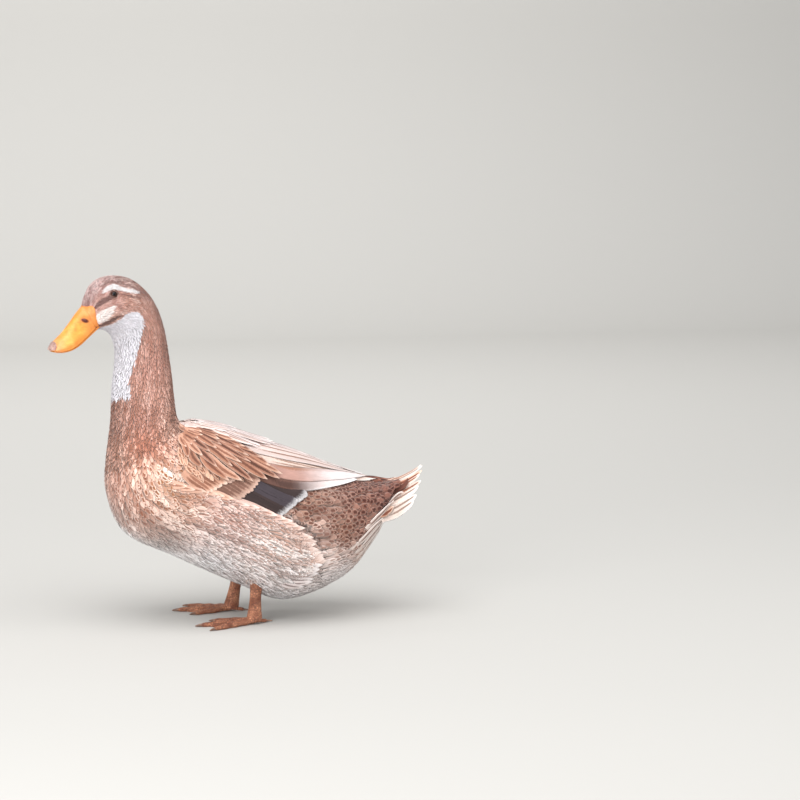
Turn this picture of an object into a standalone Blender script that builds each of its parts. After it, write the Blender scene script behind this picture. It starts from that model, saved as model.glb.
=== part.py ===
"""A life-size standing duck hen of a golden-buff farm breed, as a still museum model.

Run it with blender --background --python part.py, or from the text editor. Units are metres, +Z is up,
the duck faces -X, and its left side is -Y. The origin is on the floor below the middle of its bounding box.
"""

import math

import bmesh
import bpy
import numpy as np
from mathutils import Vector

MM = 0.001
GAP = 0.3 * MM  # the space kept between neighbouring nodes

# The body is one loft of upright ovals, from the base of the bill over the head, down the neck and back to the
# tail. Each station gives its highest and its lowest point in the side view, its half width, how far its widest
# level lies above its middle, and an exponent under 1 for fuller shoulders. Sizes are in millimetres.
STATIONS = (
    # name, top x, top z, bottom x, bottom z, half width, widest level, fullness
    ("bill_base", -194.5, 394, -181.5, 364, 13, 0.00, 1.00),
    ("forehead", -189, 411, -178, 364.5, 17, -0.10, 1.00),
    ("brow", -177, 425, -173.5, 365.5, 21, -0.14, 1.00),
    ("crown", -155.5, 430, -167.5, 364.5, 24, -0.14, 1.00),
    ("hind_crown", -129, 423.5, -161, 361, 25.5, -0.10, 1.00),
    ("nape", -105, 401, -154.5, 352, 26, 0.00, 1.00),
    ("neck_top", -90.5, 367.5, -151, 330, 27, 0.00, 1.00),
    ("neck_mid", -82.5, 319, -155, 291, 29, 0.00, 1.00),
    ("neck_low", -78.5, 277.5, -157, 249, 34, 0.00, 1.00),
    ("neck_base", -75.5, 255, -162.5, 206.5, 43, 0.02, 0.97),
    ("shoulder", -68.5, 246.5, -163.5, 164, 57, 0.04, 0.93),
    ("breast", -53, 245, -142.5, 114, 70, 0.06, 0.88),
    ("keel", -25, 239.5, -82.5, 82.5, 80, 0.08, 0.85),
    ("belly", 19, 223.5, -3, 44.5, 85, 0.08, 0.84),
    ("loin", 69.5, 205, 56, 23, 83, 0.08, 0.85),
    ("vent", 125, 182, 130, 50, 66, 0.10, 0.88),
    ("rump", 169, 168.5, 166.5, 93.5, 45, 0.15, 0.92),
    ("tail_root", 199.5, 169, 183, 131.5, 27, 0.20, 1.00),
)
RINGS = 52
RING_SIDES = 32

# The head is turned a little to the duck's left, about an upright axis in the neck.
HEAD_TURN = math.radians(18)
NECK_AXIS_X = -118 * MM
TURN_FULL, TURN_NONE = 5.0, 9.0  # stations where the turn is complete, and where it ends

# A folded wing lies in a shallow bed in the side of the body. Its edge is given by the station and by the angle
# round the body from the middle of the back, in degrees, of its upper and its lower border.
WING_EDGE = np.array(
    (
        (10.3, 50, 66),
        (10.8, 26, 76),
        (11.5, 13, 80),
        (12.3, 8, 82),
        (13.0, 4, 82),
        (13.5, 2.8, 80),
        (13.9, 2.8, 63),
        (14.5, 3.0, 50),
        (15.1, 3.5, 29),
        (15.6, 4.5, 19),
        (16.15, 7, 13),
    )
)
BED_DEPTH = 7 * MM
WING_PROUD = 1.1 * MM  # how far the wing below its feathers stands out past the body's outline, in its middle
WING_RIM = 0.5 * MM  # and along its border

# The feathers of the left wing in tiers, from the lowest to the one on top. The roots and the tips of a tier lie
# on a line each, given by its first and last station and angle. A vane's half width and the height of its tip
# are in millimetres.
WING_TIERS = (
    # tier, feathers, first root, last root, first tip, last tip, half width, tip height
    ("primaries", 3, (13.7, 30), (13.9, 16), (15.6, 20), (16.3, 10), 5.5, 1.3),
    ("secondaries", 5, (12.1, 74), (12.5, 54), (13.45, 82), (14.15, 57), 6.5, 1.2),
    ("greater_coverts", 5, (11.5, 75), (12.0, 55), (12.45, 84), (13.15, 61), 6.5, 1.6),
    ("median_coverts", 5, (10.8, 71), (11.4, 48), (11.75, 80), (12.5, 57), 7.0, 1.8),
    ("lesser_coverts", 4, (10.35, 62), (10.7, 40), (11.05, 75), (11.7, 51), 7.5, 2.0),
    ("tertials", 4, (12.5, 46), (12.9, 13), (14.45, 49), (15.9, 8), 8.5, 2.0),
    ("rear_scapulars", 4, (11.9, 42), (12.2, 13), (13.3, 51), (13.9, 12), 8.0, 2.5),
    ("scapulars", 4, (11.2, 41), (11.4, 17), (12.5, 52), (12.9, 15), 7.5, 2.6),
    ("shoulder_scapulars", 3, (10.6, 42), (10.7, 26), (11.6, 49), (11.9, 22), 7.5, 2.6),
)
VANE_PROFILE = ((0.0, 0.7), (0.5, 1.0), (0.82, 0.8), (1.0, 0.16))  # share of a vane's length, share of its width
VANE_ROOT = -1.2 * MM  # height of a vane's upper side at its root
VANE_UNDER = -1.6 * MM  # height of its underside, inside the wing
VANE_CROWN = 0.5 * MM  # how far the middle of a vane stands above its edges

# The bill: top ridge, biting edge and half width at each section from the face to the tip, in millimetres,
# before the head is turned.
BILL_SECTIONS = (
    # ridge x, ridge z, edge x, edge z, half width
    (-195.5, 394.6, -181.5, 369, 12.8),
    (-203, 386, -192.5, 359.5, 12.2),
    (-211.5, 375, -202, 351.5, 12.7),
    (-221, 363.5, -213, 345.5, 14.2),
    (-230, 355.5, -224.5, 342.8, 14.8),
    (-236, 349.5, -233, 342.6, 12.3),
    (-238.5, 345.8, -238, 343.3, 7.5),
)
BILL_SIDES = 24
LOWER_BILL_DEPTH = 4.2 * MM
LOWER_BILL_INSET = 1.4 * MM
NAIL_LENGTH = 9 * MM
NOSTRIL = dict(x=-196.5, z=377.5, length=7.5, height=3.2)
NOSTRIL_DEPTH = 3.0 * MM

EYE_CENTRE = (-162, 409.5)  # x and z, before the head is turned
EYE_RADIUS = 5.2 * MM
EYE_PROUD = 1.9 * MM  # how far the eyeball stands out past the face
LID_RADIUS = 1.1 * MM

# The tail is a roof-shaped fan round a core that continues the rump. Each line gives the middle feather's place and
# how far the outermost one lies to its side, below it and ahead of it, in millimetres.
TAIL_SECTIONS = (
    # top x, top z, bottom x, bottom z, half width
    (193, 168.6, 178, 131.2, 26),
    (204, 169.5, 194, 143, 27),
    (213, 172.5, 207, 153, 26),
)
TAIL_CORE_ARCH = 10 * MM
TAIL_SIDES = 20
TAIL_FEATHERS = 14
TAIL_FAN = (
    # middle x, middle z, out to the side, down, ahead
    (186, 161, 19, 24, 8),
    (207, 172, 30, 27, 7),
    (225, 181.2, 38, 31, 10),
    (233.9, 186, 41, 33, 15),
)
TAIL_VANE_PROFILE = (6.0, 7.2, 6.2, 2.2)  # half widths at the lines above, in millimetres
TAIL_VANE_THICKNESS = 1.1 * MM
TAIL_STAGGER = 0.5 * MM  # each feather lies this much below the next one inwards
TAIL_COVERTS = (
    # feathers, share of the fan's width, root and tip along the fan in lines, height, half width in millimetres
    (7, 0.86, -0.1, 1.3, 1.6, 7.5),
    (5, 0.6, -0.3, 0.8, 2.6, 7.5),
)

# Legs. Each shank is an oval tube down to its ankle, and each foot has three webbed toes and a short hind toe. A toe
# is given by its spread from straight ahead towards the other foot in degrees, its length and its radius.
LEGS = {
    "left": dict(ankle=(12.5, -41), lean=5, turn=4),
    "right": dict(ankle=(-5, 41), lean=16, turn=-8),
}
SHANK_TOP = 78 * MM
SHANK = ((78, 9.5, 7.5), (48, 8.4, 6.6), (32, 7.8, 6.0), (17, 8.6, 6.6), (4, 9.4, 7.8))
ANKLE_CUT = 15 * MM
TOES = {"inner": (27, 50, 4.0), "middle": (0, 66, 4.4), "outer": (-25, 60, 4.1), "hind": (168, 17, 2.8)}
WEB_THICKNESS = 1.8 * MM
CLAW_LENGTH = 7 * MM

COLOURS = {
    "plumage": ((0.50, 0.27, 0.15, 1), 0.85),
    "wing": ((0.56, 0.36, 0.24, 1), 0.7),
    "tail": ((0.72, 0.52, 0.36, 1), 0.75),
    "bill": ((0.90, 0.48, 0.06, 1), 0.4),
    "nail": ((0.30, 0.17, 0.14, 1), 0.4),
    "eye": ((0.02, 0.012, 0.008, 1), 0.08),
    "leg": ((0.72, 0.24, 0.08, 1), 0.55),
}


def clear_scene():
    for old in list(bpy.data.objects):
        bpy.data.objects.remove(old, do_unlink=True)
    bpy.context.scene.collection.children.link(bpy.data.collections.new("duck"))


def make_material(slot):
    colour, roughness = COLOURS[slot]
    material = bpy.data.materials.new(slot)
    material.use_nodes = True
    shader = material.node_tree.nodes["Principled BSDF"]
    shader.inputs["Base Color"].default_value = colour
    shader.inputs["Roughness"].default_value = roughness
    shader.inputs["Metallic"].default_value = 0.0
    material.diffuse_color = colour
    return material


def ease(x):
    x = np.clip(x, 0.0, 1.0)
    return x * x * (3 - 2 * x)


def through(table, t):
    """A smooth curve through the rows of a table, at row number t."""
    t = np.asarray(t, float)
    last = len(table) - 1
    rows = np.vstack([2 * table[0] - table[1], table, 2 * table[-1] - table[-2]])
    i = np.clip(np.floor(t).astype(int), 0, last - 1)
    u = (t - i)[..., None]
    a, b, c, d = rows[i], rows[i + 1], rows[i + 2], rows[i + 3]
    return 0.5 * (2 * b + (c - a) * u + (2 * a - 5 * b + 4 * c - d) * u**2 + (3 * b - a - 3 * c + d) * u**3)


BODY_TABLE = np.array([row[1:] for row in STATIONS], float)
LAST_STATION = len(STATIONS) - 1


def turn_head(points, share=1.0):
    """Points turned with the head, by a share of its full turn."""
    angle = HEAD_TURN * np.asarray(share, float)
    x = points[..., 0] - NECK_AXIS_X
    y = points[..., 1]
    turned_x = NECK_AXIS_X + x * np.cos(angle) - y * np.sin(angle)
    return np.stack([turned_x, x * np.sin(angle) + y * np.cos(angle), points[..., 2]], -1)


def outline(t, angle):
    """Points on the feathered outline, at station t and at an angle from the middle of the back.

    The angle is in radians, and positive on the duck's left side.
    """
    t, angle = np.broadcast_arrays(np.asarray(t, float), np.asarray(angle, float))
    row = np.moveaxis(through(BODY_TABLE, t), -1, 0)
    top_x, top_z, low_x, low_z, half_width = row[:5] * MM
    widest, fullness = row[5:]
    side, level = np.sin(angle), np.cos(angle)
    level = level + widest * side**2
    x = (top_x + low_x) / 2 + (top_x - low_x) / 2 * level
    z = (top_z + low_z) / 2 + (top_z - low_z) / 2 * level
    y = -np.sign(side) * np.abs(side) ** fullness * half_width
    return turn_head(np.stack([x, y, z], -1), ease((TURN_NONE - t) / (TURN_NONE - TURN_FULL)))


def outward(t, angle):
    """Unit normals of the outline."""
    step = 0.02
    along = outline(np.asarray(t) + step, angle) - outline(np.asarray(t) - step, angle)
    around = outline(t, np.asarray(angle) + step) - outline(t, np.asarray(angle) - step)
    normal = np.cross(around, along)
    return normal / np.linalg.norm(normal, axis=-1, keepdims=True)


def wing_borders(t):
    """The angles of the folded wing's upper and lower border at station t, in radians."""
    stations, upper, lower = WING_EDGE.T
    return np.radians(np.interp(t, stations, upper)), np.radians(np.interp(t, stations, lower))


def bed_depth(t, angle):
    """How deep the wing's bed is pressed into the body."""
    upper, lower = wing_borders(t)
    angle = np.abs(angle)
    lengthwise = ease((t - 10.2) / 0.8) * ease((16.7 - t) / 0.9)
    below = ease((lower + math.radians(3) - angle) / math.radians(14))
    above = ease((angle - upper + math.radians(2)) / math.radians(12))
    meets_over_back = ease((t - 12.4) / 0.8)
    return BED_DEPTH * lengthwise * below * np.maximum(above, meets_over_back)


def body_surface(t, angle, lift=0.0):
    """Points on the body under the wings, raised by a lift."""
    height = lift - bed_depth(t, angle)
    return outline(t, angle) + outward(t, angle) * height[..., None]


def new_object(name, mesh, slot=None):
    thing = bpy.data.objects.new(name, mesh)
    bpy.data.collections["duck"].objects.link(thing)
    if slot:
        mesh.materials.append(bpy.data.materials.get(slot) or make_material(slot))
    return thing


def loft(name, rings, slot=None):
    """A closed body through rings of points, with flat ends. Its two halves are triangulated as mirror images."""
    work = bmesh.new()
    loops = [[work.verts.new(point) for point in ring] for ring in rings]
    for ring, following in zip(loops, loops[1:]):
        for i in range(len(ring)):
            j = (i + 1) % len(ring)
            near, far = (i, j) if i < len(ring) // 2 else (j, i)
            work.faces.new((ring[near], ring[far], following[far]))
            work.faces.new((ring[near], following[far], following[near]))
    work.faces.new(list(reversed(loops[0])))
    work.faces.new(loops[-1])
    bmesh.ops.recalc_face_normals(work, faces=work.faces)
    mesh = bpy.data.meshes.new(name)
    work.to_mesh(mesh)
    work.free()
    return new_object(name, mesh, slot)


def copy_of(thing, name, slot):
    mesh = thing.data.copy()
    mesh.name = name
    mesh.materials.clear()
    return new_object(name, mesh, slot)


def keep_behind(thing, point, normal):
    """Cuts a body by a plane, closes it, and keeps the side that the normal points away from."""
    work = bmesh.new()
    work.from_mesh(thing.data)
    everything = work.verts[:] + work.edges[:] + work.faces[:]
    bmesh.ops.bisect_plane(work, geom=everything, plane_co=point, plane_no=normal, clear_outer=True, dist=1e-7)
    bmesh.ops.holes_fill(work, edges=[edge for edge in work.edges if edge.is_boundary])
    bmesh.ops.recalc_face_normals(work, faces=work.faces)
    work.to_mesh(thing.data)
    work.free()


def apply_boolean(thing, operation, other=None, collection=None):
    modifier = thing.modifiers.new(operation.lower(), "BOOLEAN")
    modifier.operation = operation
    modifier.solver = "MANIFOLD"
    if collection:
        modifier.operand_type = "COLLECTION"
        modifier.collection = collection
    else:
        modifier.object = other
    bpy.context.view_layer.update()
    result = bpy.data.meshes.new_from_object(thing.evaluated_get(bpy.context.evaluated_depsgraph_get()))
    thing.modifiers.clear()
    thing.data = result


def fuse(base, pieces):
    """Joins closed pieces into the base by one union, and removes them."""
    group = bpy.data.collections.new(base.name + "_pieces")
    bpy.context.scene.collection.children.link(group)
    for piece in pieces:
        group.objects.link(piece)
    apply_boolean(base, "UNION", collection=group)
    for piece in pieces:
        bpy.data.objects.remove(piece, do_unlink=True)
    bpy.data.collections.remove(group)


def cut_away(base, cutter):
    """Cuts a cutter out of the base, and removes the cutter."""
    apply_boolean(base, "DIFFERENCE", other=cutter)
    bpy.data.objects.remove(cutter, do_unlink=True)


def keep_largest(thing):
    """Keeps only the largest closed surface of a body."""
    work = bmesh.new()
    work.from_mesh(thing.data)
    unseen, islands = set(work.verts), []
    while unseen:
        stack, island = [unseen.pop()], set()
        while stack:
            vert = stack.pop()
            island.add(vert)
            for edge in vert.link_edges:
                other = edge.other_vert(vert)
                if other in unseen:
                    unseen.remove(other)
                    stack.append(other)
        islands.append(island)
    if len(islands) > 1:
        def extent(island):
            low = [min(vert.co[i] for vert in island) for i in range(3)]
            return sum(max(vert.co[i] for vert in island) - low[i] for i in range(3))
        islands.sort(key=extent)
        bmesh.ops.delete(work, geom=[vert for island in islands[:-1] for vert in island], context="VERTS")
        work.to_mesh(thing.data)
    work.free()


def body_loft(name, first=0.0, lift=0.0):
    """The body from a station back to the tail, with its outer surface raised by a lift."""
    angles = np.linspace(-math.pi, math.pi, RING_SIDES, endpoint=False)
    stations = np.linspace(0, LAST_STATION, RINGS)
    rings = [body_surface(np.full(RING_SIDES, t), angles, lift) for t in stations if t >= first]
    top, bottom = outline(LAST_STATION, 0.0), outline(LAST_STATION, math.pi)
    rearward = np.cross(bottom - top, (0.0, 1.0, 0.0))
    rings[-1] = rings[-1] + rearward / np.linalg.norm(rearward) * lift
    return loft(name, rings)


def plane_through(front, back):
    """A point and a unit normal, up and forward, of the plane across the body through two side-view points."""
    across = Vector((front[0] - back[0], 0, front[1] - back[1]))
    return Vector((back[0] * MM, 0, back[1] * MM)), Vector((0, 1, 0)).cross(across).normalized()


def make_trunk():
    """Head, neck and torso, modelled whole and parted by thin cuts."""
    whole = body_loft("whole")
    cuts = {
        "head": plane_through((-153, 338), (-94, 373)),
        "neck": plane_through((-163, 214), (-76, 258)),
    }
    head_cut, head_up = cuts["head"]
    neck_cut, neck_up = cuts["neck"]
    head = copy_of(whole, "head", "plumage")
    keep_behind(head, head_cut, -head_up)
    neck = copy_of(whole, "neck", "plumage")
    keep_behind(neck, head_cut - head_up * GAP, head_up)
    keep_behind(neck, neck_cut, -neck_up)
    torso = copy_of(whole, "torso", "plumage")
    keep_behind(torso, neck_cut - neck_up * GAP, neck_up)
    bpy.data.objects.remove(whole, do_unlink=True)
    return head, neck, torso


def on_face(x, z, side):
    """The point and the outward normal of the face beside a side-view point, before the head is turned."""
    stations = np.linspace(0.2, 5.5, 160)
    angles = np.radians(np.linspace(15, 150, 160)) * side
    grid_t, grid_angle = np.meshgrid(stations, angles, indexing="ij")
    points = outline(grid_t, grid_angle)
    target = turn_head(np.array((x * MM, 0.0, z * MM)))
    facing = np.array((-math.cos(HEAD_TURN), -math.sin(HEAD_TURN), 0.0))
    along = (points - target) @ facing
    distance = along**2 + (points[..., 2] - target[2]) ** 2
    nearest = np.unravel_index(np.argmin(distance), distance.shape)
    return points[nearest], outward(grid_t, grid_angle)[nearest]


def ball(name, centre, radius, segments, slot=None):
    work = bmesh.new()
    bmesh.ops.create_uvsphere(work, u_segments=segments, v_segments=segments // 2 + 1, radius=radius)
    bmesh.ops.translate(work, verts=work.verts, vec=Vector(centre))
    mesh = bpy.data.meshes.new(name)
    work.to_mesh(mesh)
    work.free()
    return new_object(name, mesh, slot)


def lid_ring(centre, normal, radius):
    """The rim of the eyelids, a thin ring round the eye."""
    bpy.ops.mesh.primitive_torus_add(
        major_radius=radius, minor_radius=LID_RADIUS, major_segments=20, minor_segments=6, location=centre
    )
    ring = bpy.context.object
    ring.rotation_euler = Vector(normal).to_track_quat("Z", "Y").to_euler()
    bpy.context.view_layer.update()
    ring.data.transform(ring.matrix_world)
    ring.matrix_world.identity()
    return ring


def make_eyes(head):
    lids, sockets = [], []
    for name, side in (("left", 1), ("right", -1)):
        surface, normal = on_face(*EYE_CENTRE, side)
        centre = surface + normal * (EYE_PROUD - EYE_RADIUS)
        ball("eye_" + name, centre, EYE_RADIUS, 16, "eye")
        sockets.append(ball("socket", centre, EYE_RADIUS + GAP, 16))
        lids.append(lid_ring(surface + normal * 0.2 * MM, normal, EYE_RADIUS))
    fuse(head, lids)
    for socket in sockets:
        cut_away(head, socket)
    keep_largest(head)


def bill_ring(s, sides, upper=True):
    """One ring of the bill at section number s: an arch over the biting edge, or the jaw below it."""
    ridge_x, ridge_z, edge_x, edge_z, half_width = through(np.array(BILL_SECTIONS, float), s) * MM
    angles = np.linspace(-math.pi / 2, math.pi / 2, sides // 2 + 1)
    rise = np.cos(angles)
    y = -half_width * np.sign(np.sin(angles)) * np.abs(np.sin(angles)) ** 0.8
    x = edge_x + (ridge_x - edge_x) * rise
    z = edge_z + (ridge_z - edge_z) * rise
    floor_y = np.linspace(half_width, -half_width, sides // 2 + 1)[1:-1]
    if upper:
        over = np.stack([x, y, z], -1)
        under = np.stack([np.full_like(floor_y, edge_x), floor_y, np.full_like(floor_y, edge_z)], -1)
        return turn_head(np.vstack([over, under[::-1]]))
    share = 1 - 0.62 * s / (len(BILL_SECTIONS) - 1)
    half = half_width - LOWER_BILL_INSET
    down = np.array((0.55, 0.0, -0.83))
    level = np.stack([np.full_like(floor_y, edge_x), floor_y * half / half_width, np.full_like(floor_y, edge_z)], -1)
    level = level + down * GAP * 1.6
    arc = np.linspace(-math.pi / 2, math.pi / 2, sides // 2 + 1)
    jaw = np.stack([np.full_like(arc, edge_x), -half * np.sin(arc), np.full_like(arc, edge_z)], -1)
    depth = GAP * 1.6 + LOWER_BILL_DEPTH * share * (0.25 + 0.75 * np.cos(arc))
    jaw = jaw + depth[:, None] * down
    return turn_head(np.vstack([jaw, level[::-1]]))


def face_plane():
    """The flat front of the head, where the bill starts."""
    _, top_x, top_z, low_x, low_z = STATIONS[0][:5]
    down = np.array((low_x - top_x, 0.0, low_z - top_z)) / math.hypot(low_x - top_x, low_z - top_z)
    ahead = np.array((down[2], 0.0, -down[0]))
    point = np.array((top_x * MM, 0.0, top_z * MM)) + ahead * GAP
    turned = turn_head(np.stack([point, point + ahead]))
    return Vector(turned[0]), Vector(turned[1] - turned[0])


def make_bill():
    last = len(BILL_SECTIONS) - 1
    steps = np.concatenate([np.linspace(-0.3, 3.0, 8), [3.5, 4.0, 4.5, last]])
    front, ahead = face_plane()
    upper = loft("upper_bill", [bill_ring(s, BILL_SIDES) for s in steps], "bill")
    keep_behind(upper, front, -ahead)
    lower_steps = np.linspace(-0.3, last - 0.45, 8)
    lower = loft("lower_bill", [bill_ring(s, BILL_SIDES, upper=False) for s in lower_steps], "bill")
    keep_behind(lower, front, -ahead)
    for side in (1, -1):
        centre = turn_head(np.array((NOSTRIL["x"] * MM, -side * 9.3 * MM, NOSTRIL["z"] * MM)))
        pit = ball("pit", (0, 0, 0), 1.0, 8)
        pit.scale = (NOSTRIL["length"] / 2 * MM, NOSTRIL_DEPTH, NOSTRIL["height"] / 2 * MM)
        pit.rotation_euler = (0, math.radians(-48), HEAD_TURN)
        pit.location = centre
        bpy.context.view_layer.update()
        pit.data.transform(pit.matrix_world)
        pit.matrix_world.identity()
        cut_away(upper, pit)
    nail = copy_of(upper, "bill_nail", "nail")
    tip = turn_head(np.array((BILL_SECTIONS[-1][0] * MM, 0.0, BILL_SECTIONS[-1][1] * MM)))
    back = Vector((math.cos(HEAD_TURN), math.sin(HEAD_TURN), 0.85)).normalized()
    parting = Vector(tip) + back * NAIL_LENGTH
    keep_behind(nail, parting - back * GAP, back)
    keep_behind(upper, parting, -back)
    return upper, lower


def wing_height(t, angle):
    """The height of the wing below its feathers over the body's outline."""
    upper, lower = wing_borders(t)
    share = np.clip((angle - upper) / (lower - upper), 0, 1)
    return WING_RIM + WING_PROUD * np.sin(math.pi * share) ** 0.7


def wing_core(name, sunk, slot):
    """The folded left wing below its feathers, a smooth lens over its bed."""
    across, along = 9, 16
    stations = np.linspace(WING_EDGE[0, 0], WING_EDGE[-1, 0], along)
    work = bmesh.new()
    skins = []
    for outer in (True, False):
        rows = []
        for t in stations:
            upper, lower = wing_borders(t)
            angle = np.linspace(upper, lower, across)
            here = np.full(across, t)
            height = wing_height(here, angle) if outer else np.full(across, -sunk)
            points = outline(here, angle) + outward(here, angle) * height[:, None]
            rows.append([work.verts.new(point) for point in points])
        skins.append(rows)
        for row, following in zip(rows, rows[1:]):
            for i in range(across - 1):
                work.faces.new((row[i], row[i + 1], following[i + 1], following[i]))
    rim = [edge for edge in work.edges if edge.is_boundary]
    bmesh.ops.bridge_loops(work, edges=rim)
    bmesh.ops.recalc_face_normals(work, faces=work.faces)
    mesh = bpy.data.meshes.new(name)
    work.to_mesh(mesh)
    work.free()
    return new_object(name, mesh, slot)


def mirrored(thing, name, slot):
    """A copy of a left-hand piece for the right side."""
    twin = copy_of(thing, name, slot)
    work = bmesh.new()
    work.from_mesh(twin.data)
    for vert in work.verts:
        vert.co.y = -vert.co.y
    bmesh.ops.reverse_faces(work, faces=work.faces)
    work.to_mesh(twin.data)
    work.free()
    return twin


def step_across(t, angle, ahead, distance):
    """The station and angle that lie a distance across a feather's direction, on the outline."""
    small = 0.01
    here = outline(t, angle)
    by_station = (outline(t + small, angle) - here) / small
    by_angle = (outline(t, angle + small) - here) / small
    across = np.cross(outward(t, angle), ahead)
    across = across / np.linalg.norm(across) * distance
    change, *_ = np.linalg.lstsq(np.stack([by_station, by_angle], -1), across, rcond=None)
    return t + change[0], angle + change[1]


def wing_vane(root, tip, half_width, tip_height):
    """One feather on the wing: a leaf-shaped shingle whose top rises from its root to its tip."""
    root, tip = np.array((root[0], math.radians(root[1]))), np.array((tip[0], math.radians(tip[1])))
    rings = []
    for share, width in VANE_PROFILE:
        t, angle = root + (tip - root) * share
        ahead = outline(*(root + (tip - root) * (share + 0.05))) - outline(*(root + (tip - root) * (share - 0.05)))
        top = VANE_ROOT + (tip_height - VANE_ROOT) * share
        edges = [step_across(t, angle, ahead, side * half_width * width) for side in (-1, 1)]
        columns = ((edges[0], top), ((t, angle), top + VANE_CROWN), (edges[1], top))
        columns += ((edges[1], VANE_UNDER), (edges[0], VANE_UNDER))
        rings.append([outline(*at) + outward(*at) * (wing_height(*at) + height) for at, height in columns])
    return loft("vane", rings)


def tier_vanes(count, first_root, last_root, first_tip, last_tip, half_width, tip_height):
    """A row of overlapping feathers, each a little over the next one."""
    vanes = []
    for i in range(count):
        share = i / (count - 1)
        root = np.array(first_root) * (1 - share) + np.array(last_root) * share
        tip = np.array(first_tip) * (1 - share) + np.array(last_tip) * share
        vanes.append(wing_vane(root, tip, half_width * MM, (tip_height + 0.35 * share) * MM))
    return vanes


def make_wings():
    left = wing_core("wing_left", BED_DEPTH + 2 * MM, "wing")
    vanes = []
    for _, *sizes in WING_TIERS:
        vanes += tier_vanes(*sizes)
    fuse(left, vanes)
    cut_away(left, body_loft("torso_room", 9.0, GAP))
    keep_largest(left)
    mirrored(left, "wing_right", "wing")


def fan_point(line, place):
    """A point of the tail's fan, along it in lines and across it from -1 on the left to 1 on the right."""
    middle_x, middle_z, side, down, ahead = through(np.array(TAIL_FAN, float), line) * MM
    share = abs(place)
    return np.array((middle_x - ahead * share**2, side * place, middle_z - down * share**1.6))


def fan_frame(line, place):
    """The directions across and up from the fan at one of its points."""
    across = fan_point(line, place + 0.02) - fan_point(line, place - 0.02)
    along = fan_point(line + 0.05, place) - fan_point(line - 0.05, place)
    across /= np.linalg.norm(across)
    up = np.cross(along, across)
    return across, up / np.linalg.norm(up)


def fan_vane(place, lines, half_widths, height, thickness):
    """One feather of the tail, from its root to its tip along the fan."""
    rings = []
    for line, half_width in zip(lines, half_widths):
        across, up = fan_frame(line, place)
        middle = fan_point(line, place) + up * height
        left, right = middle - across * half_width, middle + across * half_width
        crest = middle + up * VANE_CROWN
        rings.append([left, crest, right, right - up * thickness, left - up * thickness])
    return loft("vane", rings)


def make_tail():
    table = np.array(TAIL_SECTIONS, float)
    angles = np.linspace(-math.pi, math.pi, TAIL_SIDES, endpoint=False)
    level, side = np.cos(angles), np.sin(angles)
    rings = []
    for s in np.linspace(0, len(table) - 1, 5):
        top_x, top_z, low_x, low_z, half_width = through(table, s) * MM
        x = (top_x + low_x) / 2 + (top_x - low_x) / 2 * level
        z = (top_z + low_z) / 2 + (top_z - low_z) / 2 * level - TAIL_CORE_ARCH * side**2 * s / (len(table) - 1)
        rings.append(np.stack([x, -side * half_width, z], -1))
    tail = loft("tail", rings, "tail")
    vanes = []
    lines = range(len(TAIL_FAN))
    widths = [width * MM for width in TAIL_VANE_PROFILE]
    for place in np.linspace(-1, 1, TAIL_FEATHERS):
        height = -TAIL_STAGGER * abs(place) * TAIL_FEATHERS / 2
        vanes.append(fan_vane(place, lines, widths, height, TAIL_VANE_THICKNESS))
    for count, width, root, tip, height, half_width in TAIL_COVERTS:
        for place in np.linspace(-width, width, count):
            along = [root + (tip - root) * share for share, _ in VANE_PROFILE]
            half_widths = [half_width * MM * share for _, share in VANE_PROFILE]
            vanes.append(fan_vane(place, along, half_widths, height * MM, (height + 2) * MM))
    fuse(tail, vanes)
    cut_away(tail, body_loft("torso_room", 14.5, GAP))
    keep_largest(tail)


def tube(name, centres, radii_x, radii_y, sides=12, slot=None):
    """An upright or lying oval tube through a list of centres."""
    centres = np.asarray(centres, float)
    angles = np.linspace(0, 2 * math.pi, sides, endpoint=False)
    rings = []
    for i, centre in enumerate(centres):
        ahead = centres[min(i + 1, len(centres) - 1)] - centres[max(i - 1, 0)]
        ahead /= np.linalg.norm(ahead)
        across = np.array((0.0, 1.0, 0.0)) if abs(ahead[2]) > 0.7 else np.array((0.0, 0.0, 1.0))
        first = np.cross(across, ahead)
        first /= np.linalg.norm(first)
        second = np.cross(ahead, first)
        rings.append(
            centre + np.outer(np.cos(angles) * radii_x[i], first) + np.outer(np.sin(angles) * radii_y[i], second)
        )
    return loft(name, rings, slot)


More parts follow.
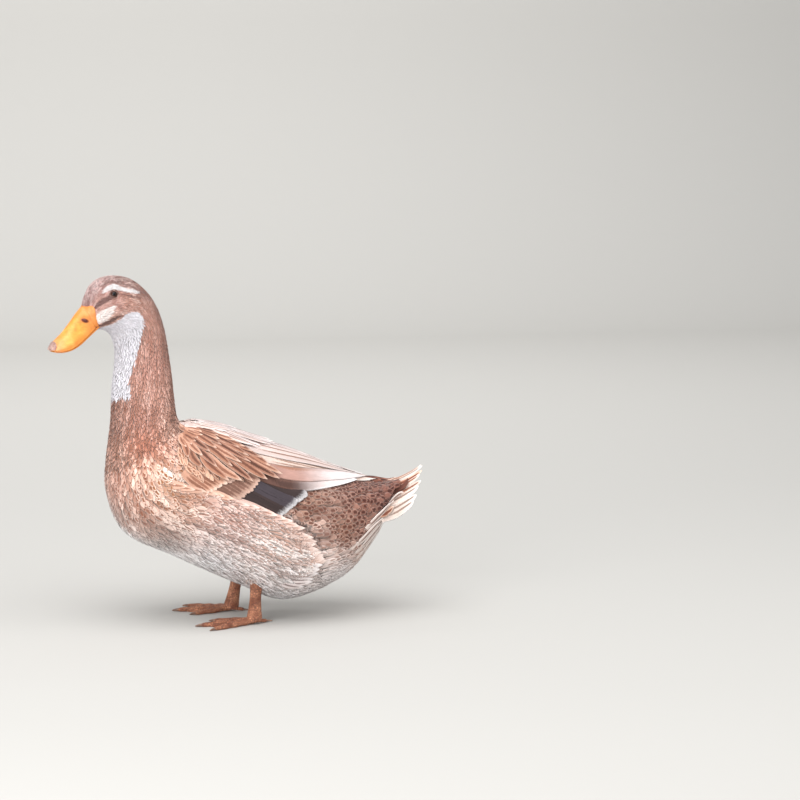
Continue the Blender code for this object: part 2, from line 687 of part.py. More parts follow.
def make_leg(side, ankle, lean, turn):
    x, y = ankle[0] * MM, ankle[1] * MM
    heading = math.radians(turn)
    heights = [row[0] * MM for row in SHANK]
    centres = [(x + lean * MM * (h - 4 * MM) / SHANK_TOP, y, h) for h in heights]
    shank = tube("leg_" + side, centres, [row[1] * MM for row in SHANK], [row[2] * MM for row in SHANK], 12, "leg")
    foot = copy_of(shank, "foot_" + side, "leg")
    cut_away(shank, body_loft("torso_room", 9.0, GAP))
    keep_behind(shank, Vector((0, 0, ANKLE_CUT)), Vector((0, 0, -1)))
    keep_largest(shank)

    pieces, tips = [], {}
    inwards = 1 if y > 0 else -1
    for toe, (spread, length, radius) in TOES.items():
        angle = heading + math.radians(spread) * inwards
        ahead = np.array((-math.cos(angle), -math.sin(angle), 0.0))
        start = np.array((x, y, 4.5 * MM))
        length, radius = length * MM, radius * MM
        shares = (0.0, 0.35, 0.62, 0.9, 1.0)
        sizes = (1.15, 1.0, 0.92, 0.75, 0.45)
        drop = (5.2, 2.6, 2.2, 1.7, 1.4)
        path = [start * (1, 1, 0) + ahead * length * s + (0, 0, d * MM) for s, d in zip(shares, drop)]
        radii = [radius * k for k in sizes]
        pieces.append(tube("toe", path, radii, [r * 0.9 for r in radii], 8))
        claw = [path[-1] + ahead * CLAW_LENGTH * s + (0, 0, -0.6 * MM * s) for s in (-0.4, 0.4, 1.0)]
        claw_radii = [radius * 0.42, radius * 0.3, radius * 0.12]
        pieces.append(tube("claw", claw, claw_radii, claw_radii, 6))
        tips[toe] = start * (1, 1, 0) + ahead * length * 0.95
    heel = np.array((x, y, 0.0)) + np.array((math.cos(heading), math.sin(heading), 0)) * 2 * MM
    corners = [heel]
    for first, second in (("inner", "middle"), ("middle", "outer")):
        notch = (tips[first] + tips[second]) / 2 * 0.88 + heel * 0.12
        corners += [tips[first], notch] if first == "inner" else [tips[first], notch, tips[second]]
    work = bmesh.new()
    face = work.faces.new([work.verts.new((c[0], c[1], -1 * MM)) for c in corners])
    raised = bmesh.ops.extrude_face_region(work, geom=[face])["geom"]
    up = (0, 0, WEB_THICKNESS + 1 * MM)
    bmesh.ops.translate(work, verts=[g for g in raised if isinstance(g, bmesh.types.BMVert)], vec=up)
    bmesh.ops.recalc_face_normals(work, faces=work.faces)
    mesh = bpy.data.meshes.new("web")
    work.to_mesh(mesh)
    work.free()
    pieces.append(new_object("web", mesh))
    keep_behind(foot, Vector((0, 0, ANKLE_CUT - GAP)), Vector((0, 0, 1)))
    fuse(foot, pieces)
    keep_behind(foot, Vector((0, 0, 0)), Vector((0, 0, -1)))
    keep_largest(foot)


def shade():
    for thing in bpy.data.objects:
        thing.data.shade_smooth()
        thing.data.set_sharp_from_angle(angle=math.radians(40))


def main():
    clear_scene()
    head, neck, torso = make_trunk()
    make_eyes(head)
    make_bill()
    make_wings()
    make_tail()
    for side, sizes in LEGS.items():
        make_leg(side, **sizes)
    shade()


main()
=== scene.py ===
# %% [markdown]
# # A duck hen with golden-buff plumage
#
# A life-size museum model of a farm duck, standing with her neck up. Her solid parts were made first, as a
# frame, and this lesson dresses them: one skin, several thousand small feathers laid over it by Geometry
# Nodes, the large feathers of wing and tail laid one by one, and a bill, eyes and scaled feet. Lengths are
# metres, +Z is up, the duck faces -X and her left side is -Y.

# %% Libraries and the frame
import math

import bpy
import numpy as np
from mathutils import Matrix, Vector


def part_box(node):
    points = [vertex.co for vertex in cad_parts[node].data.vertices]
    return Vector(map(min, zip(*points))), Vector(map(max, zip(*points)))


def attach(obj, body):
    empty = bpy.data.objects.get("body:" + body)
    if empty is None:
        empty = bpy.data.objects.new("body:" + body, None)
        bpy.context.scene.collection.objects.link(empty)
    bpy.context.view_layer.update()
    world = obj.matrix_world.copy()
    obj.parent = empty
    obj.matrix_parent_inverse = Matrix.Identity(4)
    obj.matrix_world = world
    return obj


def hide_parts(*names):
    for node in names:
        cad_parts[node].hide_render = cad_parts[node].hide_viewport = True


MM = 0.001
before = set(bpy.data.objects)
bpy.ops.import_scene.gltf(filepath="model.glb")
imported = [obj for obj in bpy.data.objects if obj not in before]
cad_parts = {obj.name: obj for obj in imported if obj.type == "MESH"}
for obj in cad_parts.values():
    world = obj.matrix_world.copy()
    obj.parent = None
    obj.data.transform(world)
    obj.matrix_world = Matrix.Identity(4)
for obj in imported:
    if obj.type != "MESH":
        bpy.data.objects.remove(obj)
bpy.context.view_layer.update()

# %% [markdown]
# ## Colours and material nodes
#
# Paint charts and colour pickers give colours as sRGB hex values, while a renderer mixes light in linear
# values, so one function turns the one into the other. A second small function adds a node to a material or
# to a Geometry Nodes tree, with its settings and its links, which keeps every later recipe short enough to
# read.

# %% Two helpers for colours and nodes
def hex_to_linear(code):
    """A hex colour such as #c98f7a as three linear values."""
    parts = np.array([int(code[i : i + 2], 16) / 255 for i in (1, 3, 5)])
    return np.where(parts <= 0.04045, parts / 12.92, ((parts + 0.055) / 1.055) ** 2.4)


def paint(code):
    return (*hex_to_linear(code), 1.0)


def add(tree, kind, links=(), out=0, **settings):
    """Add a node, or fill in one that is there, and return one of its outputs.

    A kind in capitals is the operation of a Math node, and one without Node in it is a shader node's. The
    settings are the node's properties. The links give its inputs, in their order or by name, a value or
    another node's output.
    """
    node = kind
    if isinstance(kind, str):
        kind, settings = ("Math", {"operation": kind}) if kind.isupper() else (kind, settings)
        node = tree.nodes.new(kind if "Node" in kind else "ShaderNode" + kind)
    for name, value in settings.items():
        setattr(node, name, value)
    for name, value in links.items() if isinstance(links, dict) else enumerate(links):
        if isinstance(value, bpy.types.NodeSocket):
            tree.links.new(value, node.inputs[name])
        else:
            node.inputs[name].default_value = value
    return node if out is None else node.outputs[out]


def new_material(name):
    material = bpy.data.materials.new(name)
    material.use_nodes = True
    return material, material.node_tree, material.node_tree.nodes["Principled BSDF"]


RGBA = {"out": 2, "data_type": "RGBA"}  # how a Mix node mixes colours
TINT = RGBA | {"blend_type": "MULTIPLY"}
print("apricot plumage in linear values:", hex_to_linear("#c98f7a").round(3))

# %% [markdown]
# ## The outline of the body
#
# A bird's body under its feathers is one smooth form from the base of the bill to the root of the tail.
# Here it is a chain of upright ovals, called stations: each has its highest and its lowest point in the
# side view, its half width, how far its widest level lies above its middle, and how full its shoulders are.
# A smooth curve runs through the table, so that any place on the bird is two numbers: its station, and its
# angle from the middle of the back. Feathers, markings, eyes and wings are all placed with those two
# numbers, so they stay together if the form changes.

# %% The station table and the curve through it
STATIONS = np.array(
    (
        # top x, top z, bottom x, bottom z, half width, widest level, fullness; in millimetres
        (-194.5, 394, -181.5, 364, 13, 0, 1),  # 0 base of the bill
        (-189, 411, -178, 364.5, 17, -0.1, 1),
        (-177, 425, -173.5, 365.5, 21, -0.14, 1),
        (-155.5, 430, -167.5, 364.5, 24, -0.14, 1),  # 3 crown
        (-129, 423.5, -161, 361, 25.5, -0.1, 1),
        (-105, 401, -154.5, 352, 26, 0, 1),  # 5 nape
        (-90.5, 367.5, -151, 330, 27, 0, 1),
        (-82.5, 319, -155, 291, 29, 0, 1),  # 7 middle of the neck
        (-78.5, 277.5, -157, 249, 34, 0, 1),
        (-75.5, 255, -162.5, 206.5, 43, 0.02, 0.97),
        (-68.5, 246.5, -163.5, 164, 57, 0.04, 0.93),  # 10 shoulder
        (-53, 245, -142.5, 114, 70, 0.06, 0.88),
        (-25, 239.5, -82.5, 82.5, 80, 0.08, 0.85),
        (19, 223.5, -3, 44.5, 85, 0.08, 0.84),  # 13 belly
        (69.5, 205, 56, 23, 83, 0.08, 0.85),
        (125, 182, 130, 50, 66, 0.1, 0.88),
        (169, 168.5, 166.5, 93.5, 45, 0.15, 0.92),  # 16 rump
        (199.5, 169, 183, 131.5, 27, 0.2, 1),
        (212, 173, 205, 152, 24, 0, 1),  # 18 under the tail's coverts
    )
)
LAST = len(STATIONS) - 1
HEAD_TURN = math.radians(18)  # the head looks a little to the duck's left
NECK_AXIS_X = -118 * MM
TURN_FULL, TURN_NONE = 5.0, 9.0  # stations where the turn is complete, and where it ends


def ease(x):
    x = np.clip(x, 0.0, 1.0)
    return x * x * (3 - 2 * x)


def through(table, t):
    """A smooth curve through the rows of a table, at row number t."""
    t = np.asarray(t, float)
    table = np.asarray(table, float)
    if len(table) == 1:
        table = np.repeat(table, 2, axis=0)
    last = len(table) - 1
    rows = np.vstack([2 * table[0] - table[1], table, 2 * table[-1] - table[-2]])
    i = np.clip(np.floor(t).astype(int), 0, last - 1)
    u = (t - i)[..., None]
    a, b, c, d = rows[i], rows[i + 1], rows[i + 2], rows[i + 3]
    return 0.5 * (2 * b + (c - a) * u + (2 * a - 5 * b + 4 * c - d) * u**2 + (3 * b - a - 3 * c + d) * u**3)


def turn_head(points, share=1.0):
    """Points turned with the head, by a share of its full turn."""
    angle = HEAD_TURN * np.asarray(share, float)
    x = points[..., 0] - NECK_AXIS_X
    y = points[..., 1]
    cos, sin = np.cos(angle), np.sin(angle)
    return np.stack([NECK_AXIS_X + x * cos - y * sin, x * sin + y * cos, points[..., 2]], -1)


def together(p, q):
    """Two numbers, or arrays of them, as arrays of one shape."""
    return np.broadcast_arrays(np.asarray(p, float), np.asarray(q, float))


def outline(t, angle):
    """Points at station t and at an angle from the middle of the back, positive on the left."""
    t, angle = together(t, angle)
    row = np.moveaxis(through(STATIONS, t), -1, 0)
    top_x, top_z, low_x, low_z, half_width = row[:5] * MM
    widest, fullness = row[5:]
    side = np.sin(angle)
    level = np.cos(angle) + widest * side**2
    x = (top_x + low_x) / 2 + (top_x - low_x) / 2 * level
    z = (top_z + low_z) / 2 + (top_z - low_z) / 2 * level
    y = -np.sign(side) * np.abs(side) ** fullness * half_width
    return turn_head(np.stack([x, y, z], -1), ease((TURN_NONE - t) / (TURN_NONE - TURN_FULL)))


def unit(vectors):
    return vectors / np.maximum(np.linalg.norm(vectors, axis=-1, keepdims=True), 1e-12)


def normals(sheet, p, q, step=0.02):
    """Unit normals of a sheet, which is any function of two numbers that gives points."""
    along = sheet(p + step, q) - sheet(p - step, q)
    around = sheet(p, q + step) - sheet(p, q - step)
    return unit(np.cross(around, along))


def raised(sheet, p, q, height):
    """Points at a height over a sheet."""
    return sheet(p, q) + normals(sheet, p, q) * np.asarray(height)[..., None]


def read_off(table, x, column=1):
    """A column of a table at x, in straight lines between its rows."""
    rows = np.array(table, float)
    return np.interp(x, rows[:, 0], rows[:, column])


def degrees_of(angle):
    """Degrees from the middle of the back, the same on both sides."""
    return np.degrees(np.abs(angle))


middle_line = outline(np.linspace(0, LAST, 200), 0.0)
print("length along the back in mm:", round(np.linalg.norm(np.diff(middle_line, axis=0), axis=1).sum() / MM))

# %% [markdown]
# ## The form that the feathers lie on
#
# Muscle and plumage swell over the plain outline: the cheeks, the ridge over the eye, the hollow of the
# orbit, and on the flank a thick pocket of feathers that ends in a rounded edge over the thigh. Each
# swelling is a soft hill or hollow at a named place. The flank's pocket is raised inside a border line, so
# that it ends in a step.

# %% Hills, hollows and the flank's pocket
SWELLINGS = (
    # station, degrees, radius in mm, height in mm, on both sides of the body
    (1.9, 84, 9, 0.9),  # lores, beside the bill
    (2.85, 61, 6.5, -1.3),  # orbit
    (2.9, 41, 8, 0.9),  # ridge over the eye
    (3.1, 93, 12, 1.3),  # cheek
    (3.9, 62, 9, 0.6),  # ear coverts
    (1.1, 30, 7, -0.5),
    (6.2, 120, 14, 0.8),  # lower edge of the throat
    (9.3, 28, 12, -1.6),  # where the neck meets the mantle
    (9.6, 62, 13, -1.4),
    (10.9, 96, 22, 1.6),  # side of the breast
)
FLANK_EDGE = (
    # station, upper degrees, lower degrees of the flank's pocket
    (10.4, 92, 120), (11, 85, 124), (12, 82, 128), (13, 82, 134), (13.8, 84, 138), (14.2, 91, 138),
    (14.45, 108, 130),
)
FLANK_RISE = 2.6 * MM


def inside_flank(t, angle, soft=0.10):
    """1 inside the flank's pocket, falling to 0 over a soft border."""
    degrees = degrees_of(angle)
    across = ease((degrees - read_off(FLANK_EDGE, t)) / 6 + 0.5)
    across = across * ease((read_off(FLANK_EDGE, t, 2) - degrees) / 22 + 0.5)
    return across * ease((t - 10.6) / 1.8) * ease((FLANK_EDGE[-1][0] - t) / soft)


def swelling(t, angle):
    """The height of the form over the plain outline."""
    points = outline(t, np.abs(angle))
    height = np.zeros(np.shape(points)[:-1])
    for station, degrees, radius, rise in SWELLINGS:
        centre = outline(station, math.radians(degrees))
        near = np.sum((points - centre) ** 2, -1) / (radius * MM) ** 2
        height = height + rise * MM * np.exp(-near)
    return height + FLANK_RISE * inside_flank(t, angle)


def body(t, angle, height=0.0):
    """Points at a height over the form."""
    t, angle = together(t, angle)
    return raised(outline, t, angle, swelling(t, angle) + height)


print("flank's pocket stands", round(float(swelling(13.2, math.radians(108))) / MM, 1), "mm proud")

# %% [markdown]
# ## Meshes from rings
#
# Most pieces here are lofts: rings of points joined by faces, closed at both ends. One function builds such
# a mesh, or many of them in one object, and writes the numbers that its material needs as attributes on the
# points.

# %% A mesh from rings of points
def quads_of(rings, sides, closed=True):
    """Faces between neighbouring rings of points, numbered ring after ring."""
    ring, side = np.meshgrid(np.arange(rings - 1), np.arange(sides if closed else sides - 1), indexing="ij")
    first, after = ring * sides, (side + 1) % sides
    corners = (first + side, first + after, first + sides + after, first + sides + side)
    return np.stack(corners, -1).reshape(-1, 4)


def closed_faces(rings, sides):
    """The faces of a loft with both of its ends closed."""
    last = (rings - 1) * sides
    return [*quads_of(rings, sides).tolist(), list(range(sides))[::-1], list(range(last, last + sides))]


def mesh_object(name, points, faces, attributes=None):
    """An object from points and faces, with one value a point for each named attribute."""
    mesh = bpy.data.meshes.new(name)
    mesh.from_pydata(np.asarray(points).reshape(-1, 3).tolist(), [], [list(map(int, face)) for face in faces])
    kinds = {1: ("FLOAT", "value"), 3: ("FLOAT_VECTOR", "vector"), 4: ("FLOAT_COLOR", "color")}
    for key, values in (attributes or {}).items():
        values = np.asarray(values, np.float32)
        kind, field = kinds[1 if values.ndim == 1 else values.shape[-1]]
        mesh.attributes.new(key, kind, "POINT").data.foreach_set(field, values.ravel())
    mesh.validate()
    thing = bpy.data.objects.new(name, mesh)
    bpy.context.collection.objects.link(thing)
    mesh.shade_smooth()
    return thing


def closed_loft(name, rings, attributes=None):
    return mesh_object(name, rings, closed_faces(*rings.shape[:2]), attributes)


def points_of(thing):
    """The points of an object's mesh, a row each."""
    flat = np.empty(len(thing.data.vertices) * 3, np.float32)
    thing.data.vertices.foreach_get("co", flat)
    return flat.reshape(-1, 3)


def corners_of(thing):
    """The number of the point at each corner of each face."""
    numbers = np.empty(len(thing.data.loops), int)
    thing.data.loops.foreach_get("vertex_index", numbers)
    return numbers


def write_map(thing, places):
    """Write the map for the export, with one place for each corner of each face."""
    layer = thing.data.uv_layers.new(name="OFBake")
    layer.data.foreach_set("uv", places.ravel().astype(np.float32))


def settle(thing):
    """Put the plain mesh that an object's modifiers give in place of the modifiers."""
    graph = bpy.context.evaluated_depsgraph_get()
    made = thing.evaluated_get(graph)
    mesh = bpy.data.meshes.new_from_object(made, preserve_all_data_layers=True, depsgraph=graph)
    mesh.name = thing.name
    thing.modifiers.clear()
    thing.data = mesh
    return thing


def finish(thing, material, replaced=()):
    """Give a finished piece its material and its place in the frame."""
    thing.data.materials.clear()
    thing.data.materials.append(material)
    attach(thing, "root")
    if replaced:
        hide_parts(*replaced)
    thing.data.calc_loop_triangles()
    print(f"{thing.name}: {len(thing.data.loop_triangles)} triangles")
    return thing

# %% [markdown]
# ## The colours of the plumage
#
# The hen's colours change gradually over her: rosy brown on the crown, apricot with dark flecks on the
# breast, grey and white below, spotted tan under the wing tips and rust at the tail. They are written as a
# table of places with the colour of the feather, of its rim and of the mark in its middle, the share of its
# width that the mark takes, and the feather's size. Between the places they blend by distance. On the face,
# bands with clean edges are painted over the blend: the white line over the eye, the dark line through it,
# the pale spot by the bill and the white throat.

# %% The table of colours and sizes
PLUMAGE = (
    # station, degrees, colours of feather, tip and mark, mark's share, length mm, width mm
    (0.4, 20, "#c79f9b #efd2ce #7c524b", 0.4, 4, 1.6),
    (1.2, 25, "#d3aaa6 #fbe6e3 #74483f", 0.42, 4.8, 1.8),
    (1.6, 72, "#dcaea4 #f3d0c6 #a8776b", 0.3, 4.2, 1.6),
    (2.4, 10, "#d9b1ab #fde8e4 #744a44", 0.45, 5.6, 2),
    (3.3, 8, "#be958c #f1d5cc #633d33", 0.45, 6.2, 2.2),
    (2.7, 78, "#dfb0a5 #fbe2db #9a6557", 0.3, 5.2, 1.9),
    (3.8, 78, "#d8a595 #fbdccf #8c5443", 0.35, 6.2, 2.2),
    (2.6, 118, "#cfa090 #ecc7b9 #a0705f", 0.32, 5.2, 1.9),
    (4.4, 8, "#a1766a #cfa394 #754b3f", 0.45, 7.5, 2.4),
    (5.5, 10, "#94685b #c29284 #74493c", 0.4, 9, 2.8),
    (5.4, 75, "#c69181 #e6b7a8 #9c6856", 0.35, 9, 2.8),
    (6.6, 15, "#ac7c6d #d5a494 #7b4f41", 0.4, 10, 3),
    (6.6, 85, "#cc9687 #ebbdaf #a36f5e", 0.35, 10, 3),
    (7.6, 20, "#a87969 #d2a190 #805443", 0.45, 11, 3.4),
    (7.4, 75, "#d4a192 #efc4b6 #a97764", 0.35, 11, 3.2),
    (7.9, 95, "#bb8575 #ecbdaf #9a6754", 0.45, 11, 3.4),
    (7.7, 165, "#976757 #d0a191 #7a4f40", 0.6, 11, 3.6),
    (8.8, 25, "#b38370 #e8bcaa #815544", 0.48, 13, 4.4),
    (8.8, 95, "#b77660 #eead97 #93604c", 0.5, 13, 4.6),
    (8.8, 150, "#bf8c7a #f3cbb9 #80543f", 0.6, 13, 4.6),
    (9.8, 30, "#bd8d7a #eec4b1 #845743", 0.5, 15, 6),
    (9.8, 102, "#dfaa94 #fad8c6 #8f5b46", 0.5, 15, 6),
    (9.6, 145, "#e3b4a3 #f9d6c6 #8a5a49", 0.52, 15, 6),
    (10.6, 92, "#f2c9b5 #ffefe3 #94633f", 0.46, 18, 7.5),
    (10.5, 125, "#ac7f6e #e2bcac #8d5a44", 0.46, 18, 7.5),
    (10.5, 152, "#cdb0a5 #f3ded5 #8b685c", 0.42, 18, 7),
    (10.8, 174, "#f7f5f6 #fefdfe #a39a9a", 0.3, 20, 7),
    (11.2, 105, "#c59885 #f0d1c0 #936650", 0.42, 23, 6.6),
    (11.2, 132, "#c8a99c #f0dad0 #83645a", 0.42, 23, 6.6),
    (11.4, 148, "#978b87 #c9c0be #776c69", 0.4, 22, 7),
    (11.7, 168, "#f3f1f2 #fefdfe #a39a9a", 0.3, 24, 7),
    (12.2, 100, "#d2a99c #fcdfd5 #a07264", 0.34, 30, 6.6),
    (12.2, 122, "#dec5bf #fcedea #947a72", 0.3, 30, 6.6),
    (12.2, 147, "#f7f6f9 #fefefe #b3a8a8", 0.3, 28, 6.6),
    (13.3, 100, "#fde9e1 #fff6f1 #cb9f8d", 0.32, 32, 6.6),
    (13.4, 128, "#eadcda #fdf6f5 #8f7a73", 0.3, 32, 6.6),
    (13.4, 160, "#f0edef #fcfbfc #958c8b", 0.3, 30, 6.6),
    (14.2, 110, "#f8e0d6 #fff5f0 #c9a192", 0.3, 28, 6.6),
    (14.6, 145, "#e4dcdb #faf6f5 #9a8e8b", 0.28, 26, 6.6),
    (13.9, 70, "#9f7968 #caa292 #5e3629", 0.46, 15, 8),
    (14.7, 92, "#906756 #c59d8c #5e3629", 0.48, 15, 9),
    (15.3, 65, "#825647 #ba8d7d #461f17", 0.52, 15, 9.5),
    (15.4, 105, "#8f6253 #c39686 #4b2219", 0.52, 15, 9.5),
    (15.3, 140, "#d8b9ac #f3ddd2 #84604f", 0.38, 17, 7),
    (15.4, 172, "#ddd0cc #f5edea #9a8a85", 0.3, 20, 7.5),
    (16.2, 50, "#714133 #a57263 #3c1812", 0.55, 16, 9.5),
    (16.2, 100, "#6c3a2d #9b6756 #3c1812", 0.55, 16, 9.5),
    (16.3, 145, "#d3b5a9 #efd9cf #6f4a3d", 0.4, 16, 7),
    (17, 60, "#7d4735 #b07a64 #42190f", 0.5, 16, 7.5),
    (17, 165, "#e4d5cd #f8f0eb #93766a", 0.26, 17, 6.5),
    (10, 8, "#d9b8ab #f7e2d8 #875f4f", 0.46, 16, 6.5),
    (11.6, 4, "#dcbcae #f9e8df #8c6858", 0.42, 22, 7.5),
    (13.6, 4, "#dfc3b7 #f8ebe3 #95735f", 0.38, 22, 7.5),
    (15.2, 6, "#915f4e #c69683 #4f281e", 0.5, 15, 9),
)
COLOUR_REACH = 0.9  # larger mixes the places more widely
MARKED = (
    # station, the share of feathers with a mark, half the mark's length as a share of the feather
    (0, 0.9, 0.4), (4.5, 0.8, 0.4), (6, 0.45, 0.34), (8.5, 0.42, 0.24), (9.6, 0.42, 0.17), (10.8, 0.5, 0.2),
    (11.8, 0.6, 0.34), (14.3, 0.6, 0.36), (14.5, 0.75, 0.19), (15, 0.88, 0.19), (16.5, 0.92, 0.22),
    (18, 0.8, 0.26),
)


def plumage_at(t, angle, table):
    """The colours and numbers of a table, blended at places on the body."""
    points = outline(t, np.abs(angle))
    total = 0.0
    mixed = 0.0
    for station, degrees, codes, share, length, *others in table:
        away = np.linalg.norm(points - outline(station, math.radians(degrees)), axis=-1)
        weight = 1 / (away**2 + (COLOUR_REACH * length * MM) ** 2) ** 2
        row = np.concatenate([*map(hex_to_linear, codes.split()), (share, length, *others)])
        mixed = mixed + weight[..., None] * row
        total = total + weight
    return mixed / total[..., None]


print(len(PLUMAGE), "places in the plumage table")

# %% [markdown]
# Bands on the face are lines with a width, and the throat is an area inside a closed line, so one helper
# measures how far a place is from a line, and another says whether it is inside an area.

# %% The bands of the face and the white throat
BANDS = (
    # feather, tip, mark, points as station, degrees and half width in mm
    ("#f6f2f3", "#fdfbfc", "#e2d7d6",
     ((1.95, 53, 0.7), (2.25, 50, 2.7), (2.6, 47, 3.6), (2.85, 46, 3.1), (3.2, 49, 2.4), (3.5, 51, 2.8),
      (3.85, 48.5, 2.6), (4.12, 43, 0.8))),
    ("#85605a", "#a98079", "#583630", ((1.14, 72, 2.4), (1.7, 71.5, 2.9), (2.3, 69, 2.6), (2.62, 65, 1.7))),
    ("#8f6459", "#b48a7d", "#5d3d36",
     ((3.15, 61.5, 0.9), (3.6, 62, 1.2), (3.95, 60, 1.1), (4.25, 52.5, 0.8))),
    ("#94706a", "#b3918a", "#66473f",
     ((1.98, 36, 0.8), (2.5, 34, 1.1), (3.3, 37.5, 1.2), (3.95, 39.5, 1.3), (4.4, 36, 0.8))),
    ("#fdf3f0", "#fffdfc", "#ecd7cf", ((0.98, 110, 5), (1.5, 107, 6.3), (2.1, 100, 5.2), (2.7, 87.5, 1.6))),
    ("#7b584e", "#9d7a6f", "#563a32",
     ((1.3, 137, 1.4), (2, 129, 2.4), (2.5, 123, 2.4), (3, 114, 1.9), (3.5, 104, 0.9))),
    ("#bb8c7d", "#dab0a1", "#86594b", ((4.55, 79, 1.3), (5, 84, 1.9), (5.4, 95, 2.1), (5.9, 108, 1.4))),
)
THROAT = (
    (0, 150), (1.5, 146), (2, 143), (2.6, 134), (3.18, 124.5), (3.53, 113.5), (3.8, 97), (4.1, 88.5),
    (4.48, 83), (4.85, 83.5), (5.1, 91), (5.43, 100.5), (5.75, 108.5), (6.03, 115), (6.33, 119),
    (6.55, 124), (6.8, 127.5), (7, 123), (7.15, 118), (7.25, 128), (7.1, 142), (7.22, 152), (7.12, 164),
    (7.25, 181), (0, 181),
)
THROAT_COLOURS = ("#e6e3ea", "#fdfcfe", "#d3cdd4")


def inside_line(points, line):
    """How deep each point lies inside a band along a line, in metres."""
    spots = through(line, np.linspace(0, len(line) - 1, len(line) * 8))
    path = outline(spots[:, 0], np.radians(spots[:, 1]))
    deepest = np.full(points.shape[:-1], -np.inf)
    for spot, half_width in zip(path, spots[:, 2] * MM):
        deepest = np.maximum(deepest, half_width - np.linalg.norm(points - spot, axis=-1))
    return deepest


def inside_area(t, degrees, corners):
    """True for places inside a closed line of stations and degrees."""
    inside = np.zeros(np.shape(t), bool)
    for (t0, d0), (t1, d1) in zip(corners, corners[1:] + corners[:1]):
        crosses = (d0 > degrees) != (d1 > degrees)
        where = t0 + (degrees - d0) * (t1 - t0) / ((d1 - d0) or 1e-9)
        inside ^= crosses & (t < where)
    return inside


STREAKS = (
    # station, then the strength of the short, the middling and the long streaks
    (0, 1.3, 0, 0), (4, 1, 0.4, 0), (6, 0, 0.8, 0), (8, 0, 1.1, 0), (10.2, 0, 1.4, 0.1),
    (11.2, 0, 0.9, 0.9), (12.5, 0, 0.3, 1.5), (14.3, 0, 0.3, 1.4), (14.5, 0, 0.4, 0), (18, 0, 0.4, 0),
)
STREAK_LENGTHS = (7, 14, 42)  # mm
STREAKS_AROUND = (44, 80, 60)  # round the whole body
STATION_MM = 34  # the mean step between stations


def cloud(t, angle, around, length, seed):
    """Soft random values between -1 and 1 in cells that run along the body."""
    table = np.random.default_rng(seed).uniform(-1, 1, (around, 160))
    x = (angle / (2 * math.pi) + 1) * around
    y = (t + 1) * STATION_MM / length + 0.7 * np.sin(x * 1.9)
    column, row = np.floor(x).astype(int), np.floor(y).astype(int)
    u, v = ease(x - column), ease(y - row)
    near = table[column % around, row] * (1 - v) + table[column % around, row + 1] * v
    far = table[(column + 1) % around, row] * (1 - v) + table[(column + 1) % around, row + 1] * v
    return near * (1 - u) + far * u


def streaked(mixed, t, angle):
    """Colours drawn towards the mark's along some streaks, and towards the tip's along others."""
    tone = 0.0
    for layer, (around, length) in enumerate(zip(STREAKS_AROUND, STREAK_LENGTHS)):
        tone = tone + read_off(STREAKS, t, layer + 1) * cloud(t, angle, around, length, 70 + layer)
    tone = tone * (1 - 0.6 * ease((degrees_of(angle) - 132) / 12) * ease((t - 10.5) / 0.5))
    dark, light = np.clip(tone, 0, 0.85)[..., None], np.clip(-tone, 0, 0.85)[..., None]
    feather, tip, mark = mixed[..., 0:3].copy(), mixed[..., 3:6].copy(), mixed[..., 6:9]
    mixed[..., 0:3] = feather + 0.8 * dark * (mark - feather) + light * (tip - feather)
    mixed[..., 3:6] = tip + 0.6 * dark * (mark - tip)
    return mixed


def markings(t, angle):
    """The plumage table with streaks, the bands and the throat painted over it."""
    mixed = streaked(plumage_at(t, angle, PLUMAGE), t, angle)
    points = outline(t, np.abs(angle))
    white = inside_area(t, degrees_of(angle), THROAT).astype(float)
    mixed[..., 9] *= 1 - 0.6 * white
    layers = [(THROAT_COLOURS, white)]
    layers += [(codes, ease(inside_line(points, line) / (0.9 * MM) + 0.5)) for *codes, line in BANDS]
    for codes, strength in layers:
        colours = np.concatenate([hex_to_linear(code) for code in codes])
        mixed[..., :9] += strength[..., None] * (colours - mixed[..., :9])
    return mixed


print(len(BANDS), "bands on each side of the face")

# %% [markdown]
# ## The ground for the small feathers
#
# The form becomes a helper mesh that stores, at every point, what a feather rooted there needs: which way
# it lies, its size, its colours, how thickly the place is covered, and its place on an unwrap of the skin.
# Feathers lie from the bill towards the tail, along the stations. Round the eye they part and close again,
# as water does round a post, so that none crosses the eye. The wings get large feathers later, so the small
# ones stop a little inside their borders.

# %% The form as a mesh with attributes
EYE_STATION = 2.85
EYE_DEGREES = 61
EYE_CLEARING = 4.9 * MM
BILL_REAR = (
    # degrees, and the station where the feathers begin beside the bill
    (0, 0.05), (25, 0.12), (40, 0.3), (59, 0.78), (71, 1), (84, 0.93), (100, 0.78), (120, 0.95), (134, 1.2),
    (146, 0.55), (160, 0.1), (180, 0),
)
WING_EDGE = np.array((
    # station, upper degrees, lower degrees of the folded wing
    (10.3, 50, 66), (10.8, 26, 76), (11.5, 13, 80), (12.3, 8, 82), (13, 4, 82), (13.5, 2.8, 80),
    (13.9, 2.8, 63), (14.5, 3, 50), (15.1, 3.5, 29), (15.6, 4.5, 19), (16.15, 7, 13),
))
COAT_REAR = (
    # degrees, and the station where the small feathers end before the tail
    (0, 16.7), (45, 16.7), (80, 16.5), (105, 16.65), (118, 17.1), (140, 17.5), (180, 17.7),
)
FLANK_END = ((80, 13.2), (84, 13.8), (91, 14.2), (108, 14.45), (130, 14.45), (138, 14.3), (142, 15.5))
REGIONS = {"face": 4.9, "neck": 9.2, "breast": 12.0, "flank": 14.42, "rump": 17.95}  # where each ends


def unwrap(t, angle):
    """A place on the unwrap of the skin: across from the middle of the belly, and along from bill to tail."""
    return np.stack([0.5 - 0.48 * angle / math.pi, 0.02 + 0.96 * t / LAST, np.zeros(np.shape(t))], -1)


